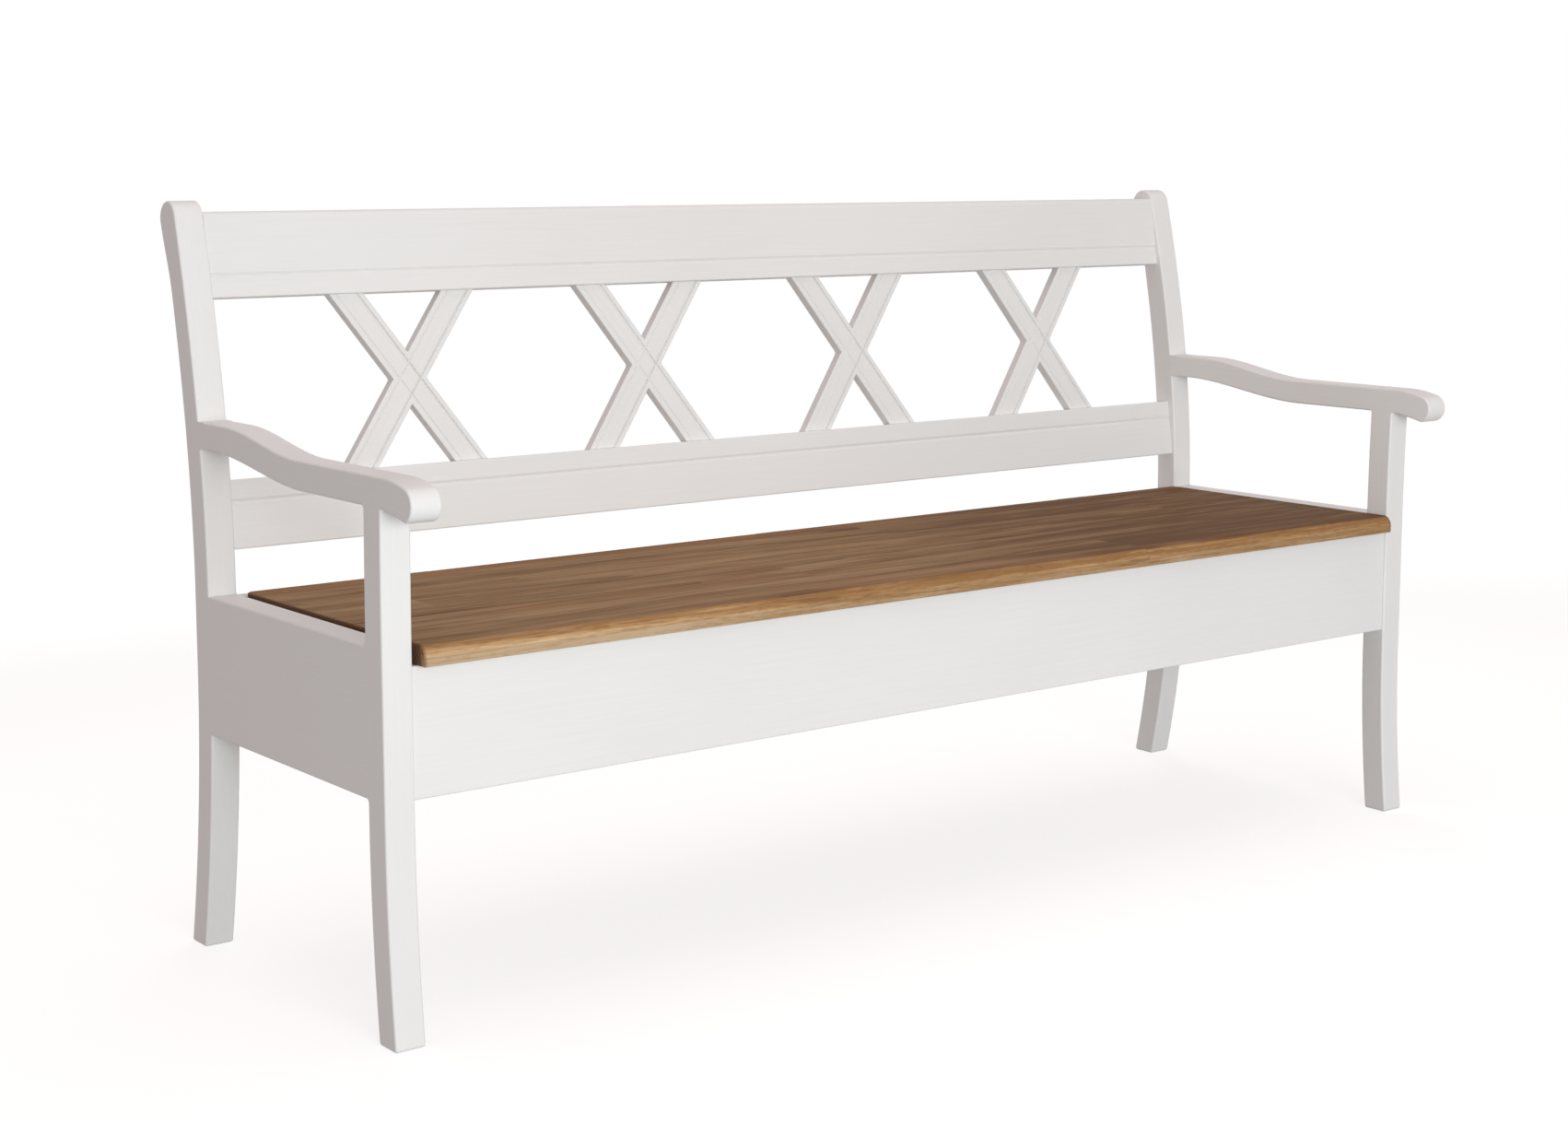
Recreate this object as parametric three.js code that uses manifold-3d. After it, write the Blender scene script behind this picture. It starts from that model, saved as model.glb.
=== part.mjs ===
// Settle bench with a lift-up seat over a shallow storage box and crosses in the leaning back.
// X runs along the bench, the front faces -Y, Z is up, and the origin is on the floor in the middle.
import * as THREE from 'three';
import { mergeVertices } from 'three/addons/utils/BufferGeometryUtils.js';
import Module from 'manifold-3d';

const wasm = await Module();
wasm.setup();

// Driving dimensions in millimetres
const benchWidth = 1800;            // over the outer faces of the posts
const benchHeight = 964;            // top of the rear posts
const seatHeight = 470;
const stockWidth = 39.5;            // posts, arms and side panels, measured along X
const postSpacing = 447.5;          // from the front of the front posts to the front of the rear posts
const fitGap = 0.3;                 // glue line between two fixed pieces
const cutOverrun = 2;               // how far a cutting tool runs past the wood

// Front posts: the foot sweeps forward and the head leans a little forward under the arm
const frontPostDepth = 40;
const frontFootSweep = 14.5;
const frontKneeHeight = 260;
const frontHeadSweep = 2.5;

// Rear posts: the foot sweeps back, the back leans in a growing curve to a rounded head
const rearPostDepth = 39.5;
const rearFootSweep = 39.5;
const rearKneeHeight = 380;
const backSweep = 69.5;             // how far the post's front lies back at its very top
const backSweepRise = 10;           // above the seat, where the lean starts
const backSweepPower = 1.8;
const headRadius = 22.5;
const headNeckDrop = 91;            // from the head's centre down to where the post starts to swell

// Arms
const armRise = 159;                // above the seat, to the flat underside over the front post
const armThickness = 36;
const armTopRise = 24;
const armUndersideRise = 25.5;
const armTopRiseShares = [0.434, 0.869];          // where the S starts and ends, of postSpacing
const armUndersideRiseShares = [0.411, 0.948];
const scrollOverhang = 73;          // in front of the front posts
const scrollRadius = 20.3;
const scrollDrop = 10.8;            // below the flat underside
const scrollTopShares = [[0.34, 0.02], [0.6, -0.08]];  // of the overhang and of the arm's thickness
const scrollUndersideShares = [0.49, 0.41];       // of the overhang and of the drop
const scrollStartDegrees = 105;     // where the scroll's round leaves the top
const scrollEndDegrees = 260;       // where it meets the underside

// Seat box
const boxDepth = 182;               // from the seat's top to the underside of the panels
const sidePanelDrop = 2;            // below the seat's top
const panelThickness = 25;
const frontPanelRecess = 4;
const backPanelThickness = 22;
const backPanelDrop = 7;            // below the seat's top
const bearerSize = 20;
const bearerRise = 12;              // from the underside of the box
const floorThickness = 9;
const floorPlay = 1;                // loose fit of the bottom board

// Seat
const seatThickness = 25;
const seatEndGap = 7;
const seatOverhang = 14.5;          // in front of the front posts
const noseDepth = 13;               // how far the rounded front edge reaches back
const noseDrop = 18;
const seatFrontCornerRadius = 2;
const seatRearCornerRadius = 14;

// Back frame
const lowerRailRise = 53.5;         // above the seat
const lowerRailSetback = 5.3;       // behind the rear posts' front, at the rail's underside
const crestDrop = 13;               // below the heads; there the frame lies flush with the posts' front
const lowerRailHeight = 89;         // measured along the slope, as the next sizes are
const crestHeight = 111;
const railThickness = 25;
const crestRound = 8;
const railGrooveInset = 25;         // from the edge next to the crosses
const railGrooveWidth = 6;
const railGrooveDepth = 3;

// Crosses
const crossCount = 4;
const crossPitchShare = 0.2246;     // of the rails' length
const crossSpreadShare = 0.0979;
const stripWidth = 41;
const stripThickness = 16;
const stripSetback = 7;
const stripGrooveInset = 8;
const stripGrooveWidth = 3;
const stripGrooveDepth = 1.5;

// Joinery: fixed pieces meet in tenons, and each mortise is its tenon grown by the glue line
const tenonThicknessShare = 0.34;   // of the piece that carries the tenon
const tenonShoulder = 8;            // from the piece's edges
const tenonWall = 2;                // wood left between two tenons that meet in one post
const railTenonLength = 20;
const sideTenonLength = 15;
const armTenonLength = 18;
const postTenonLength = 18;
const stripTenonLength = 10;
const stripTenonShoulder = 6;

// Seat hinges
const hingePlaceShares = [-0.36, 0, 0.36];        // of the seat's length
const hingeLength = 60;
const hingeGap = 6;                 // from the seat's rear edge to the back panel
const hingePinDrop = 3;             // below the seat's top
const leafHeight = 19;
const leafThickness = 1.5;
const knuckleCount = 5;
const knuckleRadius = 2.6;
const hingePinRadius = 1.2;
const hingePinPlay = 0.35;
const hingePinEnd = 0.6;            // how far the pin stands out of the knuckles
const knuckleGap = 0.4;
const screwHeadRadius = 3.1;
const screwHeadDepth = 1.4;
const screwShankRadius = 1.5;
const screwLength = 15;
const screwPlay = 0.3;
const screwSlotWidth = 0.7;
const screwSlotDepth = 0.6;
const screwSpacing = 36;

// Places worked out from the dimensions above
const backSweepStart = seatHeight + backSweepRise;
const armUnderside = seatHeight + armRise;
const boxUnderside = seatHeight - boxDepth;
const sidePanelTop = seatHeight - sidePanelDrop;
const backPanelTop = seatHeight - backPanelDrop;
const lowerRailUnderside = seatHeight + lowerRailRise;
const crestTop = benchHeight - crestDrop;
const innerX = benchWidth / 2 - stockWidth;
const railLength = 2 * (innerX - fitGap);
const seatUnderside = seatHeight - seatThickness;
const hingeAxisY = postSpacing - hingeGap / 2;
const hingeAxisZ = seatHeight - hingePinDrop;
const seatRearY = postSpacing - hingeGap;
const seatLength = 2 * (innerX - seatEndGap);

const curveSteps = 24;
const arcSteps = 14;
const endSteps = 4;
const roundSides = 16;
const screwSides = 12;

// Materials
const paintedWood = () => new THREE.MeshStandardMaterial({ color: 0xe8e4e0, roughness: 0.5, metalness: 0 });
const oiledOak = () => new THREE.MeshStandardMaterial({ color: 0x83623f, roughness: 0.55, metalness: 0 });
const bareWood = () => new THREE.MeshStandardMaterial({ color: 0xc9b28c, roughness: 0.7, metalness: 0 });
const platedSteel = () => new THREE.MeshStandardMaterial({ color: 0xb9bcc0, roughness: 0.35, metalness: 1 });

// Solids: a closed geometry becomes a solid, is cut or joined, and becomes a geometry again
function toSolid(geometry) {
  const bare = geometry.clone();
  bare.deleteAttribute('normal');
  bare.deleteAttribute('uv');
  const merged = mergeVertices(bare);
  return new wasm.Manifold(new wasm.Mesh({
    numProp: 3,
    vertProperties: merged.attributes.position.array,
    triVerts: new Uint32Array(merged.index.array),
  }));
}

function toGeometry(solid) {
  const mesh = solid.getMesh();
  const geometry = new THREE.BufferGeometry();
  geometry.setAttribute('position', new THREE.BufferAttribute(mesh.vertProperties, mesh.numProp));
  geometry.setIndex(new THREE.BufferAttribute(mesh.triVerts, 1));
  geometry.computeVertexNormals();
  return geometry;
}

function cut(body, ...tools) {
  let solid = toSolid(body);
  for (const tool of tools) {
    solid = solid.subtract(toSolid(tool));
  }
  return toGeometry(solid);
}

function join(first, ...others) {
  let solid = toSolid(first);
  for (const other of others) {
    solid = solid.add(toSolid(other));
  }
  return toGeometry(solid);
}

function overlapOf(first, second) {
  return toGeometry(toSolid(first).intersect(toSolid(second)));
}

// An outline in Y and Z, carried along X from zero to its width
function sideSlab(points, width) {
  const shape = new THREE.Shape(points.map(([y, z]) => new THREE.Vector2(y, z)));
  const geometry = new THREE.ExtrudeGeometry(shape, { depth: width, bevelEnabled: false });
  const turn = new THREE.Matrix4().makeBasis(
    new THREE.Vector3(0, 1, 0),
    new THREE.Vector3(0, 0, 1),
    new THREE.Vector3(1, 0, 0),
  );
  return geometry.applyMatrix4(turn);
}

// An outline in X and Z, carried along Y from zero to its thickness
function faceSlab(points, thickness) {
  const shape = new THREE.Shape(points.map(([x, z]) => new THREE.Vector2(x, z)));
  const geometry = new THREE.ExtrudeGeometry(shape, { depth: thickness, bevelEnabled: false });
  return geometry.rotateX(Math.PI / 2).translate(0, thickness, 0);
}

// A box given by its low and high corners
function block([x0, y0, z0], [x1, y1, z1]) {
  const geometry = new THREE.BoxGeometry(x1 - x0, y1 - y0, z1 - z0);
  return geometry.translate((x0 + x1) / 2, (y0 + y1) / 2, (z0 + z1) / 2);
}

// A cylinder whose axis runs along X from x0 to x1
function barrel(radius, x0, x1) {
  const geometry = new THREE.CylinderGeometry(radius, radius, x1 - x0, roundSides);
  return geometry.rotateZ(Math.PI / 2).translate((x0 + x1) / 2, 0, 0);
}

function arcPoints([y, z], radius, fromDegrees, toDegrees, steps) {
  const points = [];
  for (let i = 0; i <= steps; i += 1) {
    const angle = THREE.MathUtils.degToRad(fromDegrees + (toDegrees - fromDegrees) * i / steps);
    points.push([y + radius * Math.cos(angle), z + radius * Math.sin(angle)]);
  }
  return points;
}

function bezierPoints(corners, steps) {
  const [a, b, c, d] = corners.map(([y, z]) => new THREE.Vector2(y, z));
  const curve = d ? new THREE.CubicBezierCurve(a, b, c, d) : new THREE.QuadraticBezierCurve(a, b, c);
  return curve.getPoints(steps).map((point) => [point.x, point.y]);
}

function range(from, to, steps) {
  return Array.from({ length: steps + 1 }, (_, i) => from + (to - from) * i / steps);
}

const smooth = (t) => THREE.MathUtils.smoothstep(t, 0, 1);

// The front edge of each post as a function of height, with Y zero at the front posts' front
function frontPostFace(z) {
  const foot = Math.max(0, 1 - z / frontKneeHeight);
  const head = Math.max(0, (z - seatHeight) / (armUnderside - seatHeight));
  return -frontFootSweep * foot ** 2 - frontHeadSweep * head ** 2;
}

function rearPostFace(z) {
  const foot = Math.max(0, 1 - z / rearKneeHeight);
  const back = Math.max(0, (z - backSweepStart) / (benchHeight - backSweepStart));
  return postSpacing + rearFootSweep * foot ** 2 + backSweep * back ** backSweepPower;
}

// Tenons in the bench's own frame: with no gap the tenon, with the glue line as gap its mortise
function grown([x0, y0, z0], [x1, y1, z1], gap) {
  return block([x0 - gap, y0 - gap, z0 - gap], [x1 + gap, y1 + gap, z1 + gap]);
}

// The low and high side of a tenon in the middle of a piece's thickness
function tenonSpan(from, thickness) {
  const middle = from + thickness / 2;
  const half = thickness * tenonThicknessShare / 2;
  return [middle - half, middle + half];
}

const [stockTenonLow, stockTenonHigh] = tenonSpan(0, stockWidth);
const boxTenonLength = stockTenonLow - tenonWall;

function frontPanelTenon(gap) {
  const [low, high] = tenonSpan(frontPanelRecess, panelThickness);
  const reach = innerX + boxTenonLength;
  const top = seatUnderside - fitGap - tenonShoulder;
  return grown([-reach, low, boxUnderside + tenonShoulder], [reach, high, top], gap);
}

function backPanelTenon(gap) {
  const [low, high] = tenonSpan(postSpacing, backPanelThickness);
  const reach = innerX + boxTenonLength;
  const top = backPanelTop - tenonShoulder;
  return grown([-reach, low, boxUnderside + tenonShoulder], [reach, high, top], gap);
}

function sidePanelTenon(gap) {
  return grown(
    [stockTenonLow, frontPostDepth - sideTenonLength, boxUnderside + tenonShoulder],
    [stockTenonHigh, postSpacing + sideTenonLength, sidePanelTop - tenonShoulder],
    gap,
  );
}

function postTenon(gap) {
  const front = frontPostFace(armUnderside);
  return grown(
    [stockTenonLow, front + tenonShoulder, armUnderside - postTenonLength],
    [stockTenonHigh, front + frontPostDepth - tenonShoulder, armUnderside + postTenonLength],
    gap,
  );
}

function armTenon(gap) {
  const low = armUnderside + armUndersideRise + tenonShoulder;
  const high = armUnderside + armThickness + armTopRise - tenonShoulder;
  const face = rearPostFace((low + high) / 2);
  return grown(
    [stockTenonLow, face - armTenonLength, low],
    [stockTenonHigh, face + armTenonLength, high],
    gap,
  );
}

// Posts: x is where the post's left face stands
function frontPostGeometry(x) {
  const heights = range(0, armUnderside - fitGap, curveSteps);
  const rear = heights.map((z) => [frontPostFace(z) + frontPostDepth, z]);
  const front = heights.map((z) => [frontPostFace(z), z]).reverse();
  const post = join(sideSlab([...rear, ...front], stockWidth), postTenon(0));
  return cut(post, frontPanelTenon(fitGap).translate(-x, 0, 0), sidePanelTenon(fitGap));
}

// The head is a circle that the post's front runs into; the rear edge swells out to meet it
const headCentreZ = benchHeight - headRadius;
const headStartDegrees = 166;
const headEndDegrees = -14;

function headCentreY() {
  const start = THREE.MathUtils.degToRad(headStartDegrees);
  return rearPostFace(headCentreZ + headRadius * Math.sin(start)) - headRadius * Math.cos(start);
}

function rearPostGeometry(x) {
  const centre = [headCentreY(), headCentreZ];
  const head = arcPoints(centre, headRadius, headEndDegrees, headStartDegrees, arcSteps);
  const frontTop = head[head.length - 1][1];
  const neckZ = headCentreZ - headNeckDrop;
  const front = range(0, frontTop, 2 * curveSteps).slice(0, -1).map((z) => [rearPostFace(z), z]);
  const rear = range(0, neckZ, 2 * curveSteps).map((z) => [rearPostFace(z) + rearPostDepth, z]);
  const neck = rear[rear.length - 1];
  const [headY, headZ] = head[0];
  const third = (headZ - neckZ) / 3;
  const neckSlope = (rearPostFace(neckZ) - rearPostFace(neckZ - third)) / third;
  const headSlope = Math.tan(THREE.MathUtils.degToRad(-headEndDegrees));
  const swell = bezierPoints([
    neck,
    [neck[0] + neckSlope * third, neckZ + third],
    [headY - headSlope * third, headZ - third],
    [headY, headZ],
  ], arcSteps);
  const post = sideSlab([...rear, ...swell.slice(1), ...head.slice(1), ...front.reverse()], stockWidth);
  const railMortises = [lowerRailTenon(fitGap), crestTenon(fitGap)].map(onSlope);
  const mortises = [backPanelTenon(fitGap), ...railMortises].map((tool) => tool.translate(-x, 0, 0));
  return cut(post, ...mortises, sidePanelTenon(fitGap), armTenon(fitGap));
}

// Arms
const armSpan = (shares, y) => smooth((y / postSpacing - shares[0]) / (shares[1] - shares[0]));
const armTopAt = (y) => armUnderside + armThickness + armTopRise * armSpan(armTopRiseShares, y);
const armUndersideAt = (y) => armUnderside + armUndersideRise * armSpan(armUndersideRiseShares, y);

function armGeometry() {
  const rearLow = armUnderside + armUndersideRise;
  const rearHigh = armUnderside + armThickness + armTopRise;
  const end = range(rearLow, rearHigh, endSteps).map((z) => [rearPostFace(z) - fitGap, z]);
  const top = range(end[end.length - 1][0], 0, 2 * curveSteps).slice(1).map((y) => [y, armTopAt(y)]);
  const flatStart = frontPostFace(armUnderside) - fitGap;
  const under = range(flatStart, end[0][0], 2 * curveSteps).slice(0, -1)
    .map((y) => [y, armUndersideAt(y)]);
  const centre = [scrollRadius - scrollOverhang, armUnderside - scrollDrop + scrollRadius];
  const scroll = arcPoints(centre, scrollRadius, scrollStartDegrees, scrollEndDegrees, arcSteps);
  const [first, second] = scrollTopShares;
  const topBlend = bezierPoints([
    [0, armUnderside + armThickness],
    [-scrollOverhang * first[0], armUnderside + armThickness * (1 + first[1])],
    [-scrollOverhang * second[0], armUnderside + armThickness * (1 + second[1])],
    scroll[0],
  ], arcSteps);
  const underBlend = bezierPoints([
    scroll[scroll.length - 1],
    [-scrollOverhang * scrollUndersideShares[0], armUnderside - scrollDrop * scrollUndersideShares[1]],
    [flatStart, armUnderside],
  ], arcSteps);
  const outline = [
    ...end, ...top, ...topBlend.slice(1), ...scroll.slice(1), ...underBlend.slice(1, -1), ...under,
  ];
  return cut(join(sideSlab(outline, stockWidth), armTenon(0)), postTenon(fitGap));
}

// Seat box
function sidePanelGeometry() {
  const rear = range(boxUnderside, sidePanelTop, curveSteps).map((z) => [rearPostFace(z) - fitGap, z]);
  const front = range(sidePanelTop, boxUnderside, curveSteps)
    .map((z) => [frontPostFace(z) + frontPostDepth + fitGap, z]);
  return join(sideSlab([...rear, ...front], stockWidth), sidePanelTenon(0));
}

const frontPanelInnerY = frontPanelRecess + panelThickness;

function frontPanelGeometry() {
  const panel = block(
    [-railLength / 2, frontPanelRecess, boxUnderside],
    [railLength / 2, frontPanelInnerY, seatUnderside - fitGap],
  );
  return join(panel, frontPanelTenon(0));
}

function backPanelGeometry() {
  const panel = block(
    [-railLength / 2, postSpacing, boxUnderside],
    [railLength / 2, postSpacing + backPanelThickness, backPanelTop],
  );
  const holes = hingeScrewPlaces(1).map(([x, y, z]) => screwHoleGeometry(1).translate(x, y, z));
  return cut(join(panel, backPanelTenon(0)), ...holes);
}

const bearerTop = boxUnderside + bearerRise + bearerSize;
const bearerFrontY = frontPanelInnerY + fitGap;
const bearerRearY = postSpacing - fitGap;

function longBearerGeometry() {
  return block(
    [-railLength / 2, 0, bearerTop - bearerSize],
    [railLength / 2, bearerSize, bearerTop],
  );
}

function endBearerGeometry() {
  return block(
    [0, bearerFrontY + bearerSize + fitGap, bearerTop - bearerSize],
    [bearerSize, bearerRearY - bearerSize - fitGap, bearerTop],
  );
}

function boxFloorGeometry() {
  const low = bearerTop + fitGap;
  return block(
    [-innerX + floorPlay, frontPanelInnerY + floorPlay, low],
    [innerX - floorPlay, postSpacing - floorPlay, low + floorThickness],
  );
}

// Seat: a board with a rounded front edge, crisp front corners and rounded rear corners
function seatGeometry() {
  const nose = range(0, Math.PI / 2, arcSteps / 2).map((angle) => [
    -seatOverhang + noseDepth * (1 - Math.cos(angle)),
    seatHeight - noseDrop + noseDrop * Math.sin(angle),
  ]);
  const outline = [
    [-seatOverhang, seatUnderside],
    [seatRearY, seatUnderside],
    [seatRearY, seatHeight],
    ...nose.reverse(),
  ];
  const board = sideSlab(outline, seatLength).translate(-seatLength / 2, 0, 0);
  const plan = seatPlan(seatLength / 2, -seatOverhang, seatRearY);
  const blank = new THREE.ExtrudeGeometry(plan, {
    depth: seatThickness + 2 * cutOverrun,
    bevelEnabled: false,
    curveSegments: arcSteps / 2,
  });
  blank.translate(0, 0, seatUnderside - cutOverrun);
  const holes = hingeScrewPlaces(-1).map(([x, y, z]) => screwHoleGeometry(-1).translate(x, y, z));
  return cut(overlapOf(board, blank), ...holes);
}

function seatPlan(halfLength, frontY, rearY) {
  const front = seatFrontCornerRadius;
  const rear = seatRearCornerRadius;
  const plan = new THREE.Shape();
  plan.moveTo(-halfLength + front, frontY);
  plan.lineTo(halfLength - front, frontY);
  plan.absarc(halfLength - front, frontY + front, front, -Math.PI / 2, 0);
  plan.lineTo(halfLength, rearY - rear);
  plan.absarc(halfLength - rear, rearY - rear, rear, 0, Math.PI / 2);
  plan.lineTo(-halfLength + rear, rearY);
  plan.absarc(-halfLength + rear, rearY - rear, rear, Math.PI / 2, Math.PI);
  plan.lineTo(-halfLength, frontY + front);
  plan.absarc(-halfLength + front, frontY + front, front, Math.PI, 3 * Math.PI / 2);
  return plan;
}

// Back frame: a turned group whose Z runs up the slope and whose Y is the depth behind its front
const backFootY = rearPostFace(lowerRailUnderside) + lowerRailSetback;
const backRun = rearPostFace(crestTop) - backFootY;
const backRise = crestTop - lowerRailUnderside;
const backLean = Math.atan2(backRun, backRise);
const backLength = Math.hypot(backRun, backRise);
const crossLow = lowerRailHeight + fitGap;
const crossHigh = backLength - crestHeight - fitGap;

// Half of a groove's mouth lies on each side of its bottom
function grooveNotch(z) {
  return [
    [0, z + railGrooveWidth / 2],
    [railGrooveDepth, z],
    [0, z - railGrooveWidth / 2],
  ];
}

// From the turned group's frame into the bench's own
function onSlope(geometry) {
  return geometry.rotateX(-backLean).translate(0, backFootY, lowerRailUnderside);
}

function railTenon(low, high, gap) {
  const [near, far] = tenonSpan(0, railThickness);
  const reach = innerX + railTenonLength;
  return grown([-reach, near, low + tenonShoulder], [reach, far, high - tenonShoulder], gap);
}

const lowerRailTenon = (gap) => railTenon(0, lowerRailHeight, gap);
const crestTenon = (gap) => railTenon(backLength - crestHeight, backLength, gap);

function lowerRailGeometry() {
  const outline = [
    [0, 0],
    [railThickness, 0],
    [railThickness, lowerRailHeight],
    [0, lowerRailHeight],
    ...grooveNotch(lowerRailHeight - railGrooveInset - railGrooveWidth / 2),
  ];
  return jointedRail(outline, lowerRailTenon(0));
}

function crestGeometry() {
  const low = backLength - crestHeight;
  const round = arcPoints([crestRound, backLength - crestRound], crestRound, 90, 180, arcSteps / 2);
  const outline = [
    [0, low],
    [railThickness, low],
    [railThickness, backLength],
    ...round,
    ...grooveNotch(low + railGrooveInset + railGrooveWidth / 2),
  ];
  return jointedRail(outline, crestTenon(0));
}

// A rail with a tenon at each end and a mortise for each cross strip
function jointedRail(outline, tenon) {
  const rail = sideSlab(outline, railLength).translate(-railLength / 2, 0, 0);
  const mortises = crossPlaces.flatMap((x) => [-1, 1].map((side) => (
    stripTenon(side, fitGap).translate(x, 0, 0)
  )));
  return cut(join(rail, tenon), ...mortises);
}

// A cross strip leans to one side (+1 leans right going up); the two of a cross are halved
const crossSpread = railLength * crossSpreadShare;
const crossMid = (crossLow + crossHigh) / 2;
const stripAngle = Math.atan2(crossSpread, crossHigh - crossLow);
const crossPlaces = Array.from(
  { length: crossCount },
  (_, i) => (i - (crossCount - 1) / 2) * railLength * crossPitchShare,
);

function stripOutline(side, halfWidth, low, high) {
  const half = halfWidth / Math.cos(stripAngle);
  const shift = (z) => side * (z - crossMid) * Math.tan(stripAngle);
  return [
    [shift(low) - half, low],
    [shift(low) + half, low],
    [shift(high) + half, high],
    [shift(high) - half, high],
  ];
}

// One bar through the strip, which stands out of both its ends as tenons
function stripTenon(side, gap) {
  const [near, far] = tenonSpan(stripSetback, stripThickness);
  const halfWidth = stripWidth / 2 - stripTenonShoulder + gap;
  const low = crossLow - stripTenonLength - gap;
  const high = crossHigh + stripTenonLength + gap;
  const bar = faceSlab(stripOutline(side, halfWidth, low, high), far - near + 2 * gap);
  return bar.translate(0, near - gap, 0);
}

// V cutters along both edges of a strip, run past its ends
function stripGrooveCutters(side) {
  const reach = (crossHigh - crossLow) / Math.cos(stripAngle) + 2 * stripWidth;
  const mouth = stripGrooveWidth / 2;
  const section = new THREE.Shape([
    new THREE.Vector2(-2 * mouth, -stripGrooveDepth),
    new THREE.Vector2(2 * mouth, -stripGrooveDepth),
    new THREE.Vector2(0, stripGrooveDepth),
  ]);
  const places = [-1, 1].map((edge) => edge * (stripWidth / 2 - stripGrooveInset));
  return places.map((place) => {
    const cutter = new THREE.ExtrudeGeometry(section, { depth: reach, bevelEnabled: false });
    cutter.translate(place, stripSetback, -reach / 2);
    return cutter.rotateY(side * stripAngle).translate(0, 0, crossMid);
  });
}

function stripGeometry(side) {
  const halfWidth = stripWidth / 2;
  const strip = faceSlab(stripOutline(side, halfWidth, crossLow, crossHigh), stripThickness);
  strip.translate(0, stripSetback, 0);
  const lapOutline = stripOutline(-side, halfWidth + fitGap, crossLow - stripWidth, crossHigh + stripWidth);
  const lapDepth = (stripThickness + fitGap) / 2;
  const lap = faceSlab(lapOutline, lapDepth + cutOverrun);
  const lapStart = side > 0
    ? stripSetback + stripThickness - lapDepth
    : stripSetback - cutOverrun;
  lap.translate(0, lapStart, 0);
  return cut(join(strip, stripTenon(side, 0)), lap, ...stripGrooveCutters(1), ...stripGrooveCutters(-1));
}

// Hinges: side +1 is fixed to the back panel, side -1 is fixed to the seat's rear edge
function hingeScrewPlaces(side) {
  const y = hingeAxisY + side * (hingeGap / 2 - leafThickness);
  const z = hingeAxisZ - (leafHeight + knuckleRadius) / 2;
  const places = [];
  for (const share of hingePlaceShares) {
    for (const end of [-1, 1]) {
      places.push([share * seatLength + end * screwSpacing / 2, y, z]);
    }
  }
  return places;
}

// A countersunk screw along Y: its head's face is at zero and its shank runs to the given side
function screwProfile(play) {
  return [
    new THREE.Vector2(0, -play),
    new THREE.Vector2(screwHeadRadius + play, -play),
    new THREE.Vector2(screwHeadRadius + play, 0),
    new THREE.Vector2(screwShankRadius + play, screwHeadDepth),
    new THREE.Vector2(screwShankRadius + play, screwLength + play),
    new THREE.Vector2(0, screwLength + play),
  ];
}

function turnedScrew(profile, side) {
  const geometry = new THREE.LatheGeometry(profile, screwSides);
  return side > 0 ? geometry : geometry.rotateX(Math.PI);
}

const screwHoleGeometry = (side) => turnedScrew(screwProfile(screwPlay), side);

function screwGeometry(side) {
  const profile = screwProfile(0).filter((point, i) => i !== 1);
  const slot = block(
    [-screwHeadRadius, -screwSlotDepth, -screwSlotWidth / 2],
    [screwHeadRadius, screwSlotDepth, screwSlotWidth / 2],
  );
  return cut(turnedScrew(profile, side), slot);
}

// A leaf is a plate under the knuckles with a tab up to each of its own
function leafGeometry(side) {
  const knuckleLength = hingeLength / knuckleCount;
  const faceY = side * hingeGap / 2;
  const innerY = faceY - side * leafThickness;
  const lowY = Math.min(faceY, innerY);
  const highY = Math.max(faceY, innerY);
  const plateTop = -knuckleRadius - knuckleGap;
  const plate = block([-hingeLength / 2, lowY, -leafHeight], [hingeLength / 2, highY, plateTop]);
  const parts = [];
  for (let i = side > 0 ? 0 : 1; i < knuckleCount; i += 2) {
    const x0 = -hingeLength / 2 + i * knuckleLength + knuckleGap / 2;
    const x1 = x0 + knuckleLength - knuckleGap;
    parts.push(block([x0, lowY, plateTop - knuckleGap], [x1, highY, 0]));
    parts.push(barrel(knuckleRadius, x0, x1));
  }
  const bore = barrel(
    hingePinRadius + hingePinPlay,
    -hingeLength / 2 - cutOverrun,
    hingeLength / 2 + cutOverrun,
  );
  const holes = [-1, 1].map((end) => screwHoleGeometry(side).translate(
    end * screwSpacing / 2,
    innerY,
    -(leafHeight + knuckleRadius) / 2,
  ));
  return cut(join(plate, ...parts), bore, ...holes);
}

function hingePinGeometry() {
  const half = hingeLength / 2 + hingePinEnd;
  return barrel(hingePinRadius, -half, half);
}

// Assembly
const settle = new THREE.Group();

function place(parent, name, geometry, material, x = 0, y = 0, z = 0) {
  const mesh = new THREE.Mesh(geometry, material);
  mesh.name = name;
  mesh.position.set(x, y, z);
  parent.add(mesh);
}

for (const [side, x] of [['left', -benchWidth / 2], ['right', innerX]]) {
  place(settle, `${side}_rear_post`, rearPostGeometry(x), paintedWood(), x);
  place(settle, `${side}_front_post`, frontPostGeometry(x), paintedWood(), x);
  place(settle, `${side}_arm`, armGeometry(), paintedWood(), x);
  place(settle, `${side}_side_panel`, sidePanelGeometry(), paintedWood(), x);
}

place(settle, 'front_panel', frontPanelGeometry(), paintedWood());
place(settle, 'back_panel', backPanelGeometry(), paintedWood());
place(settle, 'front_bearer', longBearerGeometry(), bareWood(), 0, bearerFrontY);
place(settle, 'rear_bearer', longBearerGeometry(), bareWood(), 0, bearerRearY - bearerSize);
place(settle, 'left_bearer', endBearerGeometry(), bareWood(), -innerX + fitGap);
place(settle, 'right_bearer', endBearerGeometry(), bareWood(), innerX - fitGap - bearerSize);
place(settle, 'box_floor', boxFloorGeometry(), bareWood());
place(settle, 'seat', seatGeometry(), oiledOak());

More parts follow.
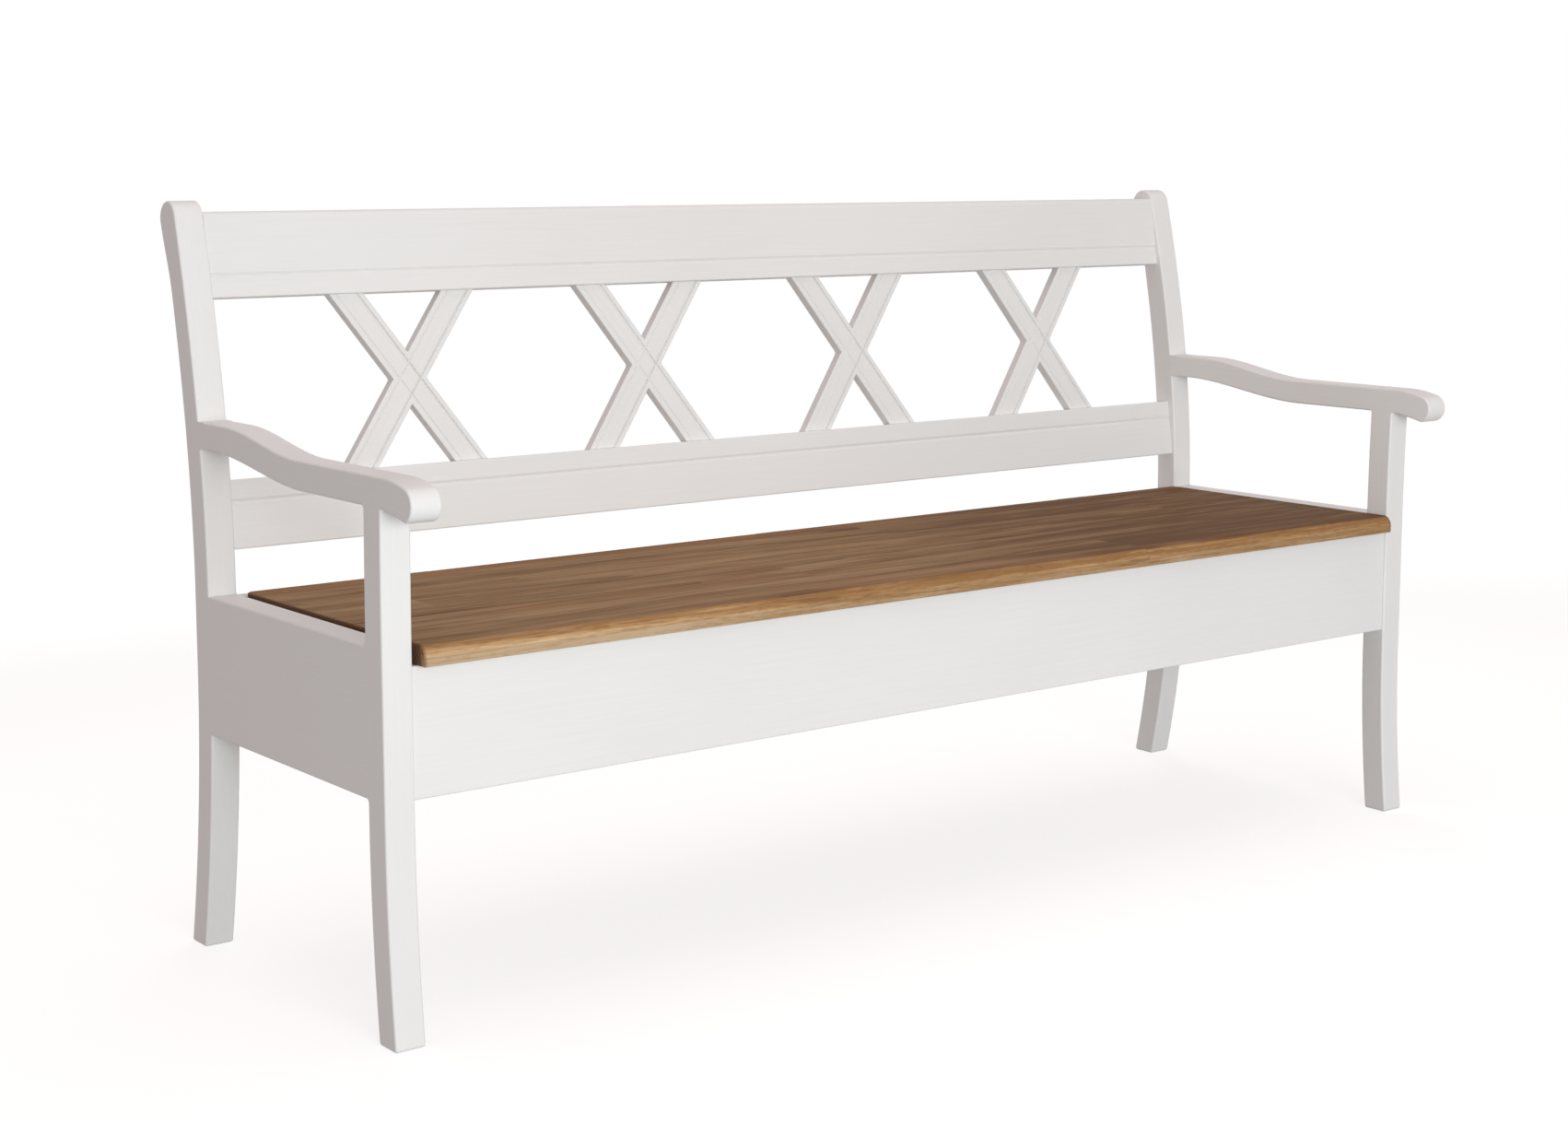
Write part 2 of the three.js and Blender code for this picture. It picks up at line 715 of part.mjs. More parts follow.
const backFrame = new THREE.Group();
backFrame.position.set(0, backFootY, lowerRailUnderside);
backFrame.rotation.x = -backLean;
settle.add(backFrame);
place(backFrame, 'lower_back_rail', lowerRailGeometry(), paintedWood());
place(backFrame, 'crest_rail', crestGeometry(), paintedWood());
crossPlaces.forEach((x, i) => {
  place(backFrame, `cross_${i + 1}_strip_a`, stripGeometry(-1), paintedWood(), x);
  place(backFrame, `cross_${i + 1}_strip_b`, stripGeometry(1), paintedWood(), x);
});

hingePlaceShares.forEach((share, i) => {
  const at = [share * seatLength, hingeAxisY, hingeAxisZ];
  place(settle, `hinge_${i + 1}_fixed_leaf`, leafGeometry(1), platedSteel(), ...at);
  place(settle, `hinge_${i + 1}_seat_leaf`, leafGeometry(-1), platedSteel(), ...at);
  place(settle, `hinge_${i + 1}_pin`, hingePinGeometry(), platedSteel(), ...at);
});
for (const [label, side] of [['panel_screw', 1], ['seat_screw', -1]]) {
  hingeScrewPlaces(side).forEach((at, i) => {
    place(settle, `${label}_${i + 1}`, screwGeometry(side), platedSteel(), ...at);
  });
}

// The origin is under the middle of the whole depth, from the scrolls to the posts' heads
const frontReach = -scrollOverhang;
const rearReach = headCentreY() + headRadius;
settle.position.y = -(frontReach + rearReach) / 2;

export default settle;
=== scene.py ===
# Settle bench: the finished look of every piece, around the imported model
import math

import bpy
import numpy as np
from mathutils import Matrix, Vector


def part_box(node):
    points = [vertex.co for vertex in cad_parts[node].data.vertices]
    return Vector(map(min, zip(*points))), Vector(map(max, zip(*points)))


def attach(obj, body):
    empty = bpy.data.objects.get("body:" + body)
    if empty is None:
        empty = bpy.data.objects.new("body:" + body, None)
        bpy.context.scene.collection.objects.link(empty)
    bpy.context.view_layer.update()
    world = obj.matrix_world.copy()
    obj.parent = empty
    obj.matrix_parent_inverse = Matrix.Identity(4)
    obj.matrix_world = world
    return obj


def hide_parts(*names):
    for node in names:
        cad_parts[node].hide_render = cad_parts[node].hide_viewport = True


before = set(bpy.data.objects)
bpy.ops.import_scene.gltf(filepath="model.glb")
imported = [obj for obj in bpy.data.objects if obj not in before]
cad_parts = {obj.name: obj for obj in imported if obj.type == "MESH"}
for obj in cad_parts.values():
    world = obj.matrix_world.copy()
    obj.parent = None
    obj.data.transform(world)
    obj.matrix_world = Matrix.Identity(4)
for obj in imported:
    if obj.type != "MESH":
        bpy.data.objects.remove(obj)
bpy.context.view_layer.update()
print("model loaded:", len(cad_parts), "pieces")

# Sizes that come straight from the model, in metres; left and right are as seen from the front
seatLow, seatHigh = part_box("seat")
rightPostLow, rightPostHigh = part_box("right_rear_post")
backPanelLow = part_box("back_panel")[0]
sidePanelLow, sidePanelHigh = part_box("left_side_panel")
seatTop = seatHigh.z
benchTop = rightPostHigh.z
boxBottom = sidePanelLow.z
outerX = rightPostHigh.x
innerX = rightPostLow.x
rearY = backPanelLow.y  # front of the rear posts where they are straight

bench = {
    "seatOverhang": 0.0145,  # of the seat past the front posts
    "arris": 0.003,  # rounding of the edges of posts and arms
    "arrisSteps": 4,
    "cornerSteps": 5,
    "roundFrom": 25,  # degrees; corners of an outline that turn more are rounded
    "tiny": 0.0001,  # radius of a corner that looks sharp
    "sharpFrom": 30,  # degrees; edges of the finished surface that turn more stay sharp
    "closed": 0.00005,  # what is left of an arris where two pieces are glued flush
    "fade": 0.002,  # length over which an arris runs out beside such a joint
    "overlap": 0.001,  # how far the span of a joint reaches past it
    "far": 1.0,  # farther than any outline reaches
    "shadingWeight": 90,
    "steep": 0.7,  # upward share of a direction from which fibres count as standing
    "patternStep": (3.7, 1.3, 2.1),  # from one piece's pattern to the next one's
}
frontY = seatLow.y + bench["seatOverhang"]  # front of the front posts where they are straight


# Materials are node trees. A node's sockets, by name or number, take another node's output or a value
def feed(tree, node, sockets):
    for key, value in sockets.items():
        if isinstance(value, bpy.types.NodeSocket):
            tree.links.new(value, node.inputs[key])
        else:
            node.inputs[key].default_value = value


def addNode(tree, kind, sockets=None, **options):
    node = tree.nodes.new(kind)
    for option, value in options.items():
        setattr(node, option, value)
    feed(tree, node, sockets or {})
    return node


def reckon(tree, operation, first, second=0.0, third=0.0):
    sockets = {0: first, 1: second, 2: third}
    return addNode(tree, "ShaderNodeMath", sockets, operation=operation).outputs[0]


# The start value plus each pattern times its share
def summed(tree, start, *parts):
    for value, share in parts:
        start = reckon(tree, "MULTIPLY_ADD", value, share, start)
    return start


# A smooth step: low and high are where the value starts and stops to count, in either order
def ramp(tree, value, low, high, bottom=0.0, top=1.0):
    sockets = {"Value": value, "From Min": low, "From Max": high, "To Min": bottom, "To Max": top}
    node = addNode(tree, "ShaderNodeMapRange", sockets, interpolation_type="SMOOTHSTEP")
    return node.outputs["Result"]


# Rises to its share as the value nears an edge; limits are distances from that edge
def nearing(tree, value, edge, limits, share=1.0):
    return ramp(tree, value, edge - limits[0], edge - limits[1], 0, share)


def mixColours(tree, share, first, second):
    return addNode(tree, "ShaderNodeMix", {0: share, 6: first, 7: second}, data_type="RGBA").outputs[2]


def scaled(tree, place, scale):
    return addNode(tree, "ShaderNodeVectorMath", {0: place, 1: scale}, operation="MULTIPLY").outputs[0]


def lengthOf(tree, place):
    return addNode(tree, "ShaderNodeVectorMath", {0: place}, operation="LENGTH").outputs["Value"]


# Noise whose grains are 1/scale metres long on each axis
def noise(tree, place, scale, detail=2.0, roughness=0.5, distortion=0.0):
    sockets = {
        "Vector": scaled(tree, place, scale),
        "Scale": 1.0,
        "Detail": detail,
        "Roughness": roughness,
        "Distortion": distortion,
    }
    return addNode(tree, "ShaderNodeTexNoise", sockets).outputs["Fac"]


def bumped(tree, height, strength, distance, normal=None):
    sockets = {"Height": height, "Strength": strength, "Distance": distance}
    if normal:
        sockets["Normal"] = normal
    return addNode(tree, "ShaderNodeBump", sockets).outputs["Normal"]


# A new material, its node tree and its shader, whose sockets the caller feeds
def newMaterial(name):
    material = bpy.data.materials.new(name)
    material.use_nodes = True
    tree = material.node_tree
    return material, tree, tree.nodes["Principled BSDF"]


# The place in a piece's own grain: X along the fibres, Y and Z across them; woodenPiece stores it
def grainPlace(tree):
    return addNode(tree, "ShaderNodeAttribute", attribute_name="grainPlace").outputs["Vector"]


paint = {
    "light": (0.835, 0.828, 0.815, 1),
    "dim": (0.805, 0.797, 0.783, 1),
    "rough": (0.42, 0.56),
    "specular": 0.35,
    # Grains per metre along the fibres and across them, then detail, roughness and distortion
    "cloud": ((2.5, 5, 5), 3),
    "fibres": ((7, 310, 310), 4, 0.6, 0.3),  # they show through the paint
    "skin": ((240, 420, 420), 1),  # the paint's own fine skin
    "toneShares": (0.6, 0.4),  # of clouds and fibres
    "toneRange": (0.35, 0.65),  # tones from dim to light
    "roughRange": (0.3, 0.7),
    "fibreBump": (0.5, 0.00004),  # strength and height
    "skinBump": (0.4, 0.00002),
}


def paintedWood():
    material, tree, shader = newMaterial("painted wood")
    place = grainPlace(tree)
    fibres = noise(tree, place, *paint["fibres"])
    skin = noise(tree, place, *paint["skin"])
    tone = summed(tree, 0.0, *zip((noise(tree, place, *paint["cloud"]), fibres), paint["toneShares"]))
    normal = bumped(tree, fibres, *paint["fibreBump"])
    share = ramp(tree, tone, *paint["toneRange"])
    sockets = {
        "Base Color": mixColours(tree, share, paint["dim"], paint["light"]),
        "Roughness": ramp(tree, tone, *paint["roughRange"], *paint["rough"]),
        "Specular IOR Level": paint["specular"],
        "Normal": bumped(tree, skin, *paint["skinBump"], normal),
    }
    feed(tree, shader, sockets)
    return material


oak = {
    "staveWidth": 0.1085,
    "staveLength": 1.35,
    "frontJoint": 0.3205,  # x of a butt joint in the front stave
    "jointStep": 0.382,  # from one row's joints to the next row's, of a stave's length
    "glueLine": 0.35,  # how dark the joints are
    "rim": 0.5,  # how dark the rims are: at the ends painted shade beside the side panels, along the rear just darker
    "shuffle": 4.0,  # picks other boards
    "jump": (9, 9, 9),  # how far apart the grain of two staves may lie
    # Colours of the top, from dark to light and where it is redder
    "dark": (0.140, 0.070, 0.031, 1),
    "middle": (0.285, 0.172, 0.088, 1),
    "light": (0.420, 0.278, 0.158, 1),
    "red": (0.330, 0.155, 0.066, 1),
    # Colours of the front edge, from dark to light; the lighter ones partly stand in for light, as painted
    # light
    "noseDark": (0.300, 0.155, 0.062, 1),
    "noseMiddle": (0.475, 0.284, 0.130, 1),
    "noseLight": (0.740, 0.555, 0.355, 1),
    "endDark": (0.115, 0.058, 0.033, 1),
    "endLight": (0.175, 0.098, 0.058, 1),
    "endDarkAtNose": 0.45,  # share of the end grain's dark where the front edge ends; behind it the end is darker, partly painted shade of the post
    "fleck": (0.090, 0.042, 0.024, 1),
    # Growth rings
    "pithDepth": 0.045,
    "pithSlope": 0.014,  # the pith comes nearer along the board
    "pithWander": 0.05,
    "ringWidth": 0.0052,
    "ringJitter": 2.4,  # rings
    "lateWood": 2.5,  # power that narrows the dark side of each ring
    # Patterns: grains per metre along the fibres and across them, then detail, roughness and distortion
    "meander": ((1.1, 0, 0), 2),
    "uneven": ((2.5, 26, 26), 2),
    "bands": ((2.4, 32, 32), 5, 0.55, 0.3),
    "wisps": ((8, 95, 95), 3, 0.55),
    "fibres": ((14, 520, 520), 4, 0.65),
    "flecks": ((7, 105, 105), 3),
    "smudges": ((4.2, 34, 34), 3, 0.6, 0.6),
    "ticks": ((50, 420, 420), 3, 0.6),
    "pores": ((55, 1300, 1300), 2),
    "warmth": ((2.2, 22, 22), 2),
    "waver": ((9, 60, 60), 3),
    "streaks": ((6, 150, 220), 4, 0.6),
    # From where to where a pattern's value counts
    "fleckRange": (0.60, 0.72),
    "smudgeRange": (0.57, 0.74),
    "tickRange": (0.44, 0.70),
    "poreRange": (0.56, 0.70),
    "ringPores": (0.0, 0.45, 1, 0.25),  # pores crowd the start of each ring and thin out to a quarter
    "fleckShare": 0.36,
    "poreShare": 0.45,
    # The top's tone: at the left and right end, darker at the right as painted shade, then what bands, wisps,
    # fibres, late wood, the stave's own tint and smudges add
    "topSpan": (0.3, 1),  # of the length, over which the top darkens in painted shade
    "topTone": (-0.09, -0.33),
    "topShares": (0.92, 0.25, 0.17, -0.17, 0.10, -0.12),
    "middleRange": (0.28, 0.56),  # tones from dark to middle
    "lightRange": (0.50, 0.80),  # tones from middle to light
    # Redder places and a redder band along the rear, where the tone isn't dark
    "warmRange": (0.50, 0.72, 0, 0.30),
    "rearBand": (0.05, 0.01),
    "rearShare": 0.55,
    "redTones": (0.3, 0.6),
    # The front edge's tone: at the left end, middle and right end, lighter at the left and darker at the
    # right as painted light and shade, then what streaks, bands, fibres, the depth below the top (lighter low
    # down, painted light) and ticks add
    "noseTone": (0.06, -0.085, -0.125),
    "noseLeft": (0, 0.4),  # of the length, over which the left end's tone runs out
    "noseRight": (0.6, 1),
    "paleHeights": (-0.004, -0.019, 0.2, 1.6),  # the left end is palest low down, painted light
    "lowHeights": (-0.006, -0.017),
    "noseShares": (0.72, 0.35, 0.25, 0.20, -0.11),
    "noseMiddleRange": (0.44, 0.72),
    "noseLightRange": (0.64, 1.02),
    "noseReach": (0.0055, 0.0110),  # behind the front: where the lighter wood starts to end and has ended
    "noseWaver": 0.006,
    # Joints, as shares of a stave's width and length; rims and ends, as distances from the board's edge
    "rowLine": (0.002, 0.007),
    "buttLine": (0.0002, 0.0006),
    "rimEnds": (0.0045, 0.0015),
    "rimRear": (0.004, 0.001),
    "endFace": (0.0012, 0.0004),
    "endRange": (0.1, 0.7),
    "rough": (0.68, 0.82),
    "roughRange": (0.3, 0.8),
    "specular": 0.06,
    "fibreBump": (0.5, 0.00010),  # strength and height
    "poreBump": (0.5, 0.00020),
}


# Growth rings: distance from a pith that meanders below the board and comes nearer along it, over the
# width of a year's ring. The share runs from 0 to 1 across each year
def ringShare(tree, x, side, height, pith, grain):
    wander = oak["pithWander"]
    meander = reckon(tree, "MULTIPLY_ADD", noise(tree, grain, *oak["meander"]), wander, -wander / 2)
    below = reckon(tree, "MULTIPLY_ADD", x, oak["pithSlope"], reckon(tree, "SUBTRACT", pith, height))
    away = addNode(tree, "ShaderNodeCombineXYZ", {0: reckon(tree, "ADD", side, meander), 1: below}).outputs[0]
    years = reckon(tree, "DIVIDE", lengthOf(tree, away), oak["ringWidth"])
    uneven = noise(tree, grain, *oak["uneven"])
    return reckon(tree, "FRACT", reckon(tree, "MULTIPLY_ADD", uneven, oak["ringJitter"], years))


def oiledOak():
    material, tree, shader = newMaterial("oiled oak")
    place = addNode(tree, "ShaderNodeTexCoord").outputs["Object"]
    x, y, z = addNode(tree, "ShaderNodeSeparateXYZ", {0: place}).outputs
    behind = reckon(tree, "SUBTRACT", y, seatLow.y)
    length = ramp(tree, x, -seatHigh.x, seatHigh.x)

    # Staves run along X in rows; each row is jointed at its own places, and each length has its own grain
    across = reckon(tree, "DIVIDE", behind, oak["staveWidth"])
    row = reckon(tree, "FLOOR", across)
    seed = reckon(tree, "ADD", row, oak["shuffle"])
    along = reckon(tree, "DIVIDE", reckon(tree, "SUBTRACT", x, oak["frontJoint"]), oak["staveLength"])
    along = reckon(tree, "MULTIPLY_ADD", row, oak["jointStep"], along)
    column = reckon(tree, "FLOOR", along)
    cell = addNode(tree, "ShaderNodeCombineXYZ", {0: seed, 1: column}).outputs[0]
    chance = addNode(tree, "ShaderNodeTexWhiteNoise", {"Vector": cell}, noise_dimensions="2D").outputs
    jump = scaled(tree, chance["Color"], oak["jump"])
    grain = addNode(tree, "ShaderNodeVectorMath", {0: place, 1: jump}, operation="ADD").outputs[0]
    swing, lift, tint = addNode(tree, "ShaderNodeSeparateColor", {0: chance["Color"]}).outputs

    # Rings seen from above and in the rounded edge
    middle = reckon(tree, "SUBTRACT", reckon(tree, "SUBTRACT", across, row), swing)
    side = reckon(tree, "MULTIPLY", middle, oak["staveWidth"])
    height = reckon(tree, "SUBTRACT", z, seatTop)
    pith = reckon(tree, "MULTIPLY", reckon(tree, "ADD", lift, 0.5), oak["pithDepth"])
    ring = ringShare(tree, x, side, height, pith, grain)
    late = reckon(tree, "POWER", ring, oak["lateWood"])

    # Broad bands, fibres, short dark flecks and pores
    bands = noise(tree, grain, *oak["bands"])
    wisps = noise(tree, grain, *oak["wisps"])
    fibres = noise(tree, grain, *oak["fibres"])
    flecks = ramp(tree, noise(tree, grain, *oak["flecks"]), *oak["fleckRange"])
    smudges = ramp(tree, noise(tree, grain, *oak["smudges"]), *oak["smudgeRange"])
    ticks = ramp(tree, noise(tree, grain, *oak["ticks"]), *oak["tickRange"])
    pores = ramp(tree, noise(tree, grain, *oak["pores"]), *oak["poreRange"])
    pores = reckon(tree, "MULTIPLY", pores, ramp(tree, ring, *oak["ringPores"]))

    # The top: darker towards its right end as painted shade, redder in places and along the rear
    tone = ramp(tree, length, *oak["topSpan"], *oak["topTone"])
    tone = summed(tree, tone, *zip((bands, wisps, fibres, late, tint, smudges), oak["topShares"]))
    colour = mixColours(tree, ramp(tree, tone, *oak["middleRange"]), oak["dark"], oak["middle"])
    colour = mixColours(tree, ramp(tree, tone, *oak["lightRange"]), colour, oak["light"])
    warm = ramp(tree, noise(tree, grain, *oak["warmth"]), *oak["warmRange"])
    warm = reckon(tree, "MAXIMUM", warm, nearing(tree, y, seatHigh.y, oak["rearBand"], oak["rearShare"]))
    warm = reckon(tree, "MULTIPLY", warm, ramp(tree, tone, *oak["redTones"]))
    colour = mixColours(tree, warm, colour, oak["red"])

    # The rounded front edge is lighter, partly wood sanded back and partly painted light, with a hand's
    # unevenness along its upper line, and is palest low down at the left and darker to the right, as painted
    # light and shade
    waver = noise(tree, grain, *oak["waver"])
    reach = reckon(tree, "MULTIPLY_ADD", waver, oak["noseWaver"], behind)
    reach = reckon(tree, "SUBTRACT", reach, oak["noseWaver"] / 2)
    edge = ramp(tree, reach, *oak["noseReach"], 1, 0)
    low = ramp(tree, height, *oak["lowHeights"])
    streaks = noise(tree, grain, *oak["streaks"])
    left, centre, right = oak["noseTone"]
    # Painted light and shade: the front edge is lighter at the left and darker at the right, palest low down
    # at the left
    pale = ramp(tree, length, *oak["noseLeft"], left - centre, 0)
    pale = reckon(tree, "MULTIPLY", pale, ramp(tree, height, *oak["paleHeights"]))
    noseTone = reckon(tree, "ADD", pale, ramp(tree, length, *oak["noseRight"], centre, right))
    noseTone = summed(tree, noseTone, *zip((streaks, bands, fibres, low, ticks), oak["noseShares"]))
    share = ramp(tree, noseTone, *oak["noseMiddleRange"])
    nose = mixColours(tree, share, oak["noseDark"], oak["noseMiddle"])
    nose = mixColours(tree, ramp(tree, noseTone, *oak["noseLightRange"]), nose, oak["noseLight"])
    colour = mixColours(tree, edge, colour, nose)

    # Dark flecks and pores, thin glue lines between staves, darker rims (at the ends painted shade), and end
    # grain that is darker behind the front edge (partly painted shade)
    colour = mixColours(tree, reckon(tree, "MULTIPLY", flecks, oak["fleckShare"]), colour, oak["fleck"])
    colour = mixColours(tree, reckon(tree, "MULTIPLY", pores, oak["poreShare"]), colour, oak["fleck"])
    rowLine = ramp(tree, reckon(tree, "PINGPONG", across, 0.5), *oak["rowLine"], 1, 0)
    buttLine = ramp(tree, reckon(tree, "PINGPONG", along, 0.5), *oak["buttLine"], 1, 0)
    glue = reckon(tree, "MULTIPLY", reckon(tree, "MAXIMUM", rowLine, buttLine), oak["glueLine"])
    colour = mixColours(tree, glue, colour, oak["dark"])
    aside = reckon(tree, "ABSOLUTE", x)
    # Painted shade: the top darkens at its ends beside the side panels, and it is darker along the rear
    rim = nearing(tree, aside, seatHigh.x, oak["rimEnds"], oak["rim"])
    rim = reckon(tree, "MAXIMUM", rim, nearing(tree, y, seatHigh.y, oak["rimRear"], oak["rim"]))
    colour = mixColours(tree, rim, colour, oak["dark"])
    # The end grain is dark, and darker behind the front edge, partly as painted shade of the post
    end = nearing(tree, aside, seatHigh.x, oak["endFace"])
    end = reckon(tree, "MULTIPLY", end, ramp(tree, edge, 0, 1, 1, oak["endDarkAtNose"]))
    endColour = mixColours(tree, ramp(tree, late, *oak["endRange"]), oak["endLight"], oak["endDark"])

    normal = bumped(tree, fibres, *oak["fibreBump"])
    sockets = {
        "Base Color": mixColours(tree, end, colour, endColour),
        "Roughness": ramp(tree, tone, *oak["roughRange"], *oak["rough"]),
        "Specular IOR Level": oak["specular"],
        "Normal": bumped(tree, reckon(tree, "SUBTRACT", 1.0, pores), *oak["poreBump"], normal),
    }
    feed(tree, shader, sockets)
    return material


plain = {
    "dark": (0.500, 0.350, 0.205, 1),
    "light": (0.700, 0.545, 0.365, 1),
    "rough": (0.60, 0.78),
    "specular": 0.25,
    "bend": ((1.2, 7, 7), 4, 0.6),
    "fibres": ((8, 380, 380), 5, 0.6),
    "rings": 210,  # turns of the ring wave, in radians per metre
    "ringBend": 45,
    "ringShare": 0.08,
    "toneRange": (0.30, 0.72),  # tones from dark to light
    "roughRange": (0.3, 0.7),
    "bump": (0.5, 0.0002),  # strength and height
}


def bareWood():
    material, tree, shader = newMaterial("bare wood")
    place = grainPlace(tree)
    across = addNode(tree, "ShaderNodeSeparateXYZ", {0: place}).outputs["Y"]
    bend = reckon(tree, "MULTIPLY", noise(tree, place, *plain["bend"]), plain["ringBend"])
    rings = reckon(tree, "SINE", reckon(tree, "MULTIPLY_ADD", across, plain["rings"], bend))
    tone = reckon(tree, "MULTIPLY_ADD", rings, plain["ringShare"], noise(tree, place, *plain["fibres"]))
    share = ramp(tree, tone, *plain["toneRange"])
    sockets = {
        "Base Color": mixColours(tree, share, plain["dark"], plain["light"]),
        "Roughness": ramp(tree, tone, *plain["roughRange"], *plain["rough"]),
        "Specular IOR Level": plain["specular"],
        "Normal": bumped(tree, tone, *plain["bump"]),
    }
    feed(tree, shader, sockets)
    return material


steel = {
    "dull": (0.42, 0.43, 0.44, 1),
    "bright": (0.66, 0.67, 0.68, 1),
    "rough": (0.28, 0.46),
    "cloud": ((90, 90, 90), 3),
    "scratches": ((60, 2600, 2600), 2),
    "toneRange": (0.35, 0.65),  # tones from dull to bright
    "roughRange": (0.3, 0.7),
    "bump": (0.4, 0.00002),  # strength and height
}


def platedSteel():
    material, tree, shader = newMaterial("plated steel")
    place = addNode(tree, "ShaderNodeTexCoord").outputs["Object"]
    cloud = noise(tree, place, *steel["cloud"])
    share = ramp(tree, cloud, *steel["toneRange"])
    sockets = {
        "Base Color": mixColours(tree, share, steel["dull"], steel["bright"]),
        "Metallic": 1.0,
        "Roughness": ramp(tree, cloud, *steel["roughRange"], *steel["rough"]),
        "Normal": bumped(tree, noise(tree, place, *steel["scratches"]), *steel["bump"]),
    }
    feed(tree, shader, sockets)
    return material


paintMaterial = paintedWood()
oakMaterial = oiledOak()
bareMaterial = bareWood()
steelMaterial = platedSteel()
print("materials made")


# Shapes
pieceCount = 0


# Rings of points, all of one length, become a closed skin: four-sided faces between neighbouring rings
# and a flat cap over the first and the last. Point j of ring i has number i * ringLength + j
def skinOver(name, rings):
    count, length = rings.shape[:2]
    i, j = np.meshgrid(np.arange(count - 1), np.arange(length), indexing="ij")
    after = (j + 1) % length
    start, stop = i * length, (i + 1) * length
    quads = np.stack([start + j, start + after, stop + after, stop + j], -1)
    caps = np.concatenate([np.arange(length)[::-1], (count - 1) * length + np.arange(length)])
    corners = np.concatenate([quads.reshape(-1), caps])
    sizes = np.concatenate([np.full(quads.size // 4, 4), [length, length]])
    # Six times the volume, by the sum over triangles of each skin face with the origin
    points = rings.reshape(-1, 3)
    a, b, c, d = (points[quads.reshape(-1, 4)[:, k]] for k in range(4))
    volume = (np.cross(a, b) * c).sum() + (np.cross(a, c) * d).sum()
    centres = points[:length].mean(0), points[-length:].mean(0)
    for ring, centre, way in ((rings[0], centres[0], -1), (rings[-1], centres[1], 1)):
        volume += way * (np.cross(ring, np.roll(ring, -1, 0)) @ centre).sum()
    if volume < 0:
        corners = np.concatenate([quads[..., ::-1].reshape(-1), caps[:length][::-1], caps[length:][::-1]])
    mesh = bpy.data.meshes.new(name)
    mesh.vertices.add(len(points))
    mesh.vertices.foreach_set("co", points.reshape(-1))
    mesh.loops.add(len(corners))
    mesh.loops.foreach_set("vertex_index", corners.astype(np.int32))
    mesh.polygons.add(len(sizes))
    mesh.polygons.foreach_set("loop_start", np.concatenate([[0], np.cumsum(sizes)[:-1]]).astype(np.int32))
    mesh.update(calc_edges=True)
    mesh.validate()
    mesh.polygons.foreach_set("use_smooth", np.ones(len(mesh.polygons), bool))
    mesh.set_sharp_from_angle(angle=math.radians(bench["sharpFrom"]))
    return mesh


# A finished wooden piece: along is the direction of its fibres, and the pattern starts elsewhere on each
def woodenPiece(name, rings, material, body, along, node):
    global pieceCount
    pieceCount += 1
    mesh = skinOver(name, rings)
    points = rings.reshape(-1, 3)
    along = np.array(along, float) / np.linalg.norm(along)
    side = np.cross(along, (0, 0, 1) if abs(along[2]) < bench["steep"] else (0, 1, 0))
    side /= np.linalg.norm(side)
    axes = np.stack([along, side, np.cross(along, side)])
    start = pieceCount * np.array(bench["patternStep"])
    grain = mesh.attributes.new("grainPlace", "FLOAT_VECTOR", "POINT")
    grain.data.foreach_set("vector", (points @ axes.T + start).astype(np.float32).reshape(-1))
    mesh.materials.append(material)
    piece = bpy.data.objects.new(name, mesh)
    bpy.context.scene.collection.objects.link(piece)
    shading = piece.modifiers.new("even shading", "WEIGHTED_NORMAL")
    shading.weight = bench["shadingWeight"]
    shading.keep_sharp = True
    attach(piece, body)
    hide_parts(node)


# The sharper corners of a closed outline become rounds. Their radius is one number for all, or a list with
# each corner's own; a round runs between the points radius * tan(turn / 2) away
def eased(outline, radius):
    outline = np.asarray(outline, float)
    back = np.roll(outline, 1, 0) - outline
    ahead = np.roll(outline, -1, 0) - outline
    back /= np.linalg.norm(back, axis=1, keepdims=True)
    ahead /= np.linalg.norm(ahead, axis=1, keepdims=True)
    turn = math.pi - np.arccos(np.clip((back * ahead).sum(1), -1, 1))
    corners = np.flatnonzero(turn > math.radians(bench["roundFrom"]))
    radii = np.broadcast_to(radius, corners.shape)[:, None]
    turn = turn[corners][:, None]
    at, back, ahead = outline[corners], back[corners], ahead[corners]
    middle = back + ahead
    middle /= np.linalg.norm(middle, axis=1, keepdims=True)
    centre = at + middle * radii / np.cos(turn / 2)
    start = at + back * radii * np.tan(turn / 2) - centre
    stop = at + ahead * radii * np.tan(turn / 2) - centre
    share = np.linspace(0, 1, bench["cornerSteps"] + 1)[None, :, None]
    turn = turn[..., None]
    rounds = np.sin((1 - share) * turn) * start[:, None] + np.sin(share * turn) * stop[:, None]
    rounds = rounds / np.sin(turn) + centre[:, None]
    stretches = np.split(outline, corners)
    made = [stretches[0]]
    for rounded, stretch in zip(rounds, stretches[1:]):
        made += [rounded, stretch[1:]]
    return np.concatenate(made)


# An outline in Y and Z carried along X from x0 to x1. Beside each end the outline is drawn in by
# r * (1 - sin a) while X moves by r * (1 - cos a), a from 0 to 90 degrees: a quarter round of radius r
def carried(outline, x0, x1, radius):
    ahead = np.roll(outline, -1, 0) - outline
    length = np.linalg.norm(ahead, axis=1, keepdims=True)
    normal = np.stack([ahead[:, 1], -ahead[:, 0]], -1) / length
    out = normal + np.roll(normal, 1, 0)
    out = 2 * out / (out * out).sum(1, keepdims=True)
    r = np.broadcast_to(radius, (len(outline),))[None, :, None]
    a = np.linspace(0, math.pi / 2, bench["arrisSteps"] + 1)[:, None, None]
    flat = outline[None] - out[None] * r * (1 - np.sin(a))
    move = np.broadcast_to(r * (1 - np.cos(a)), flat.shape[:2] + (1,))
    left = np.concatenate([x0 + move, flat], -1)
    right = np.concatenate([x1 - move, flat], -1)[::-1]
    return np.concatenate([left, right])


# Values with a few more around each stop, so that an arris can run out there
def withStops(low, high, count, stops=()):
    near = [stop + share * bench["fade"] for stop in stops for share in (-1, -0.5, 0, 0.5, 1)]
    values = np.concatenate([np.linspace(low, high, count), near])
    return np.unique(np.clip(values, low, high).round(6))


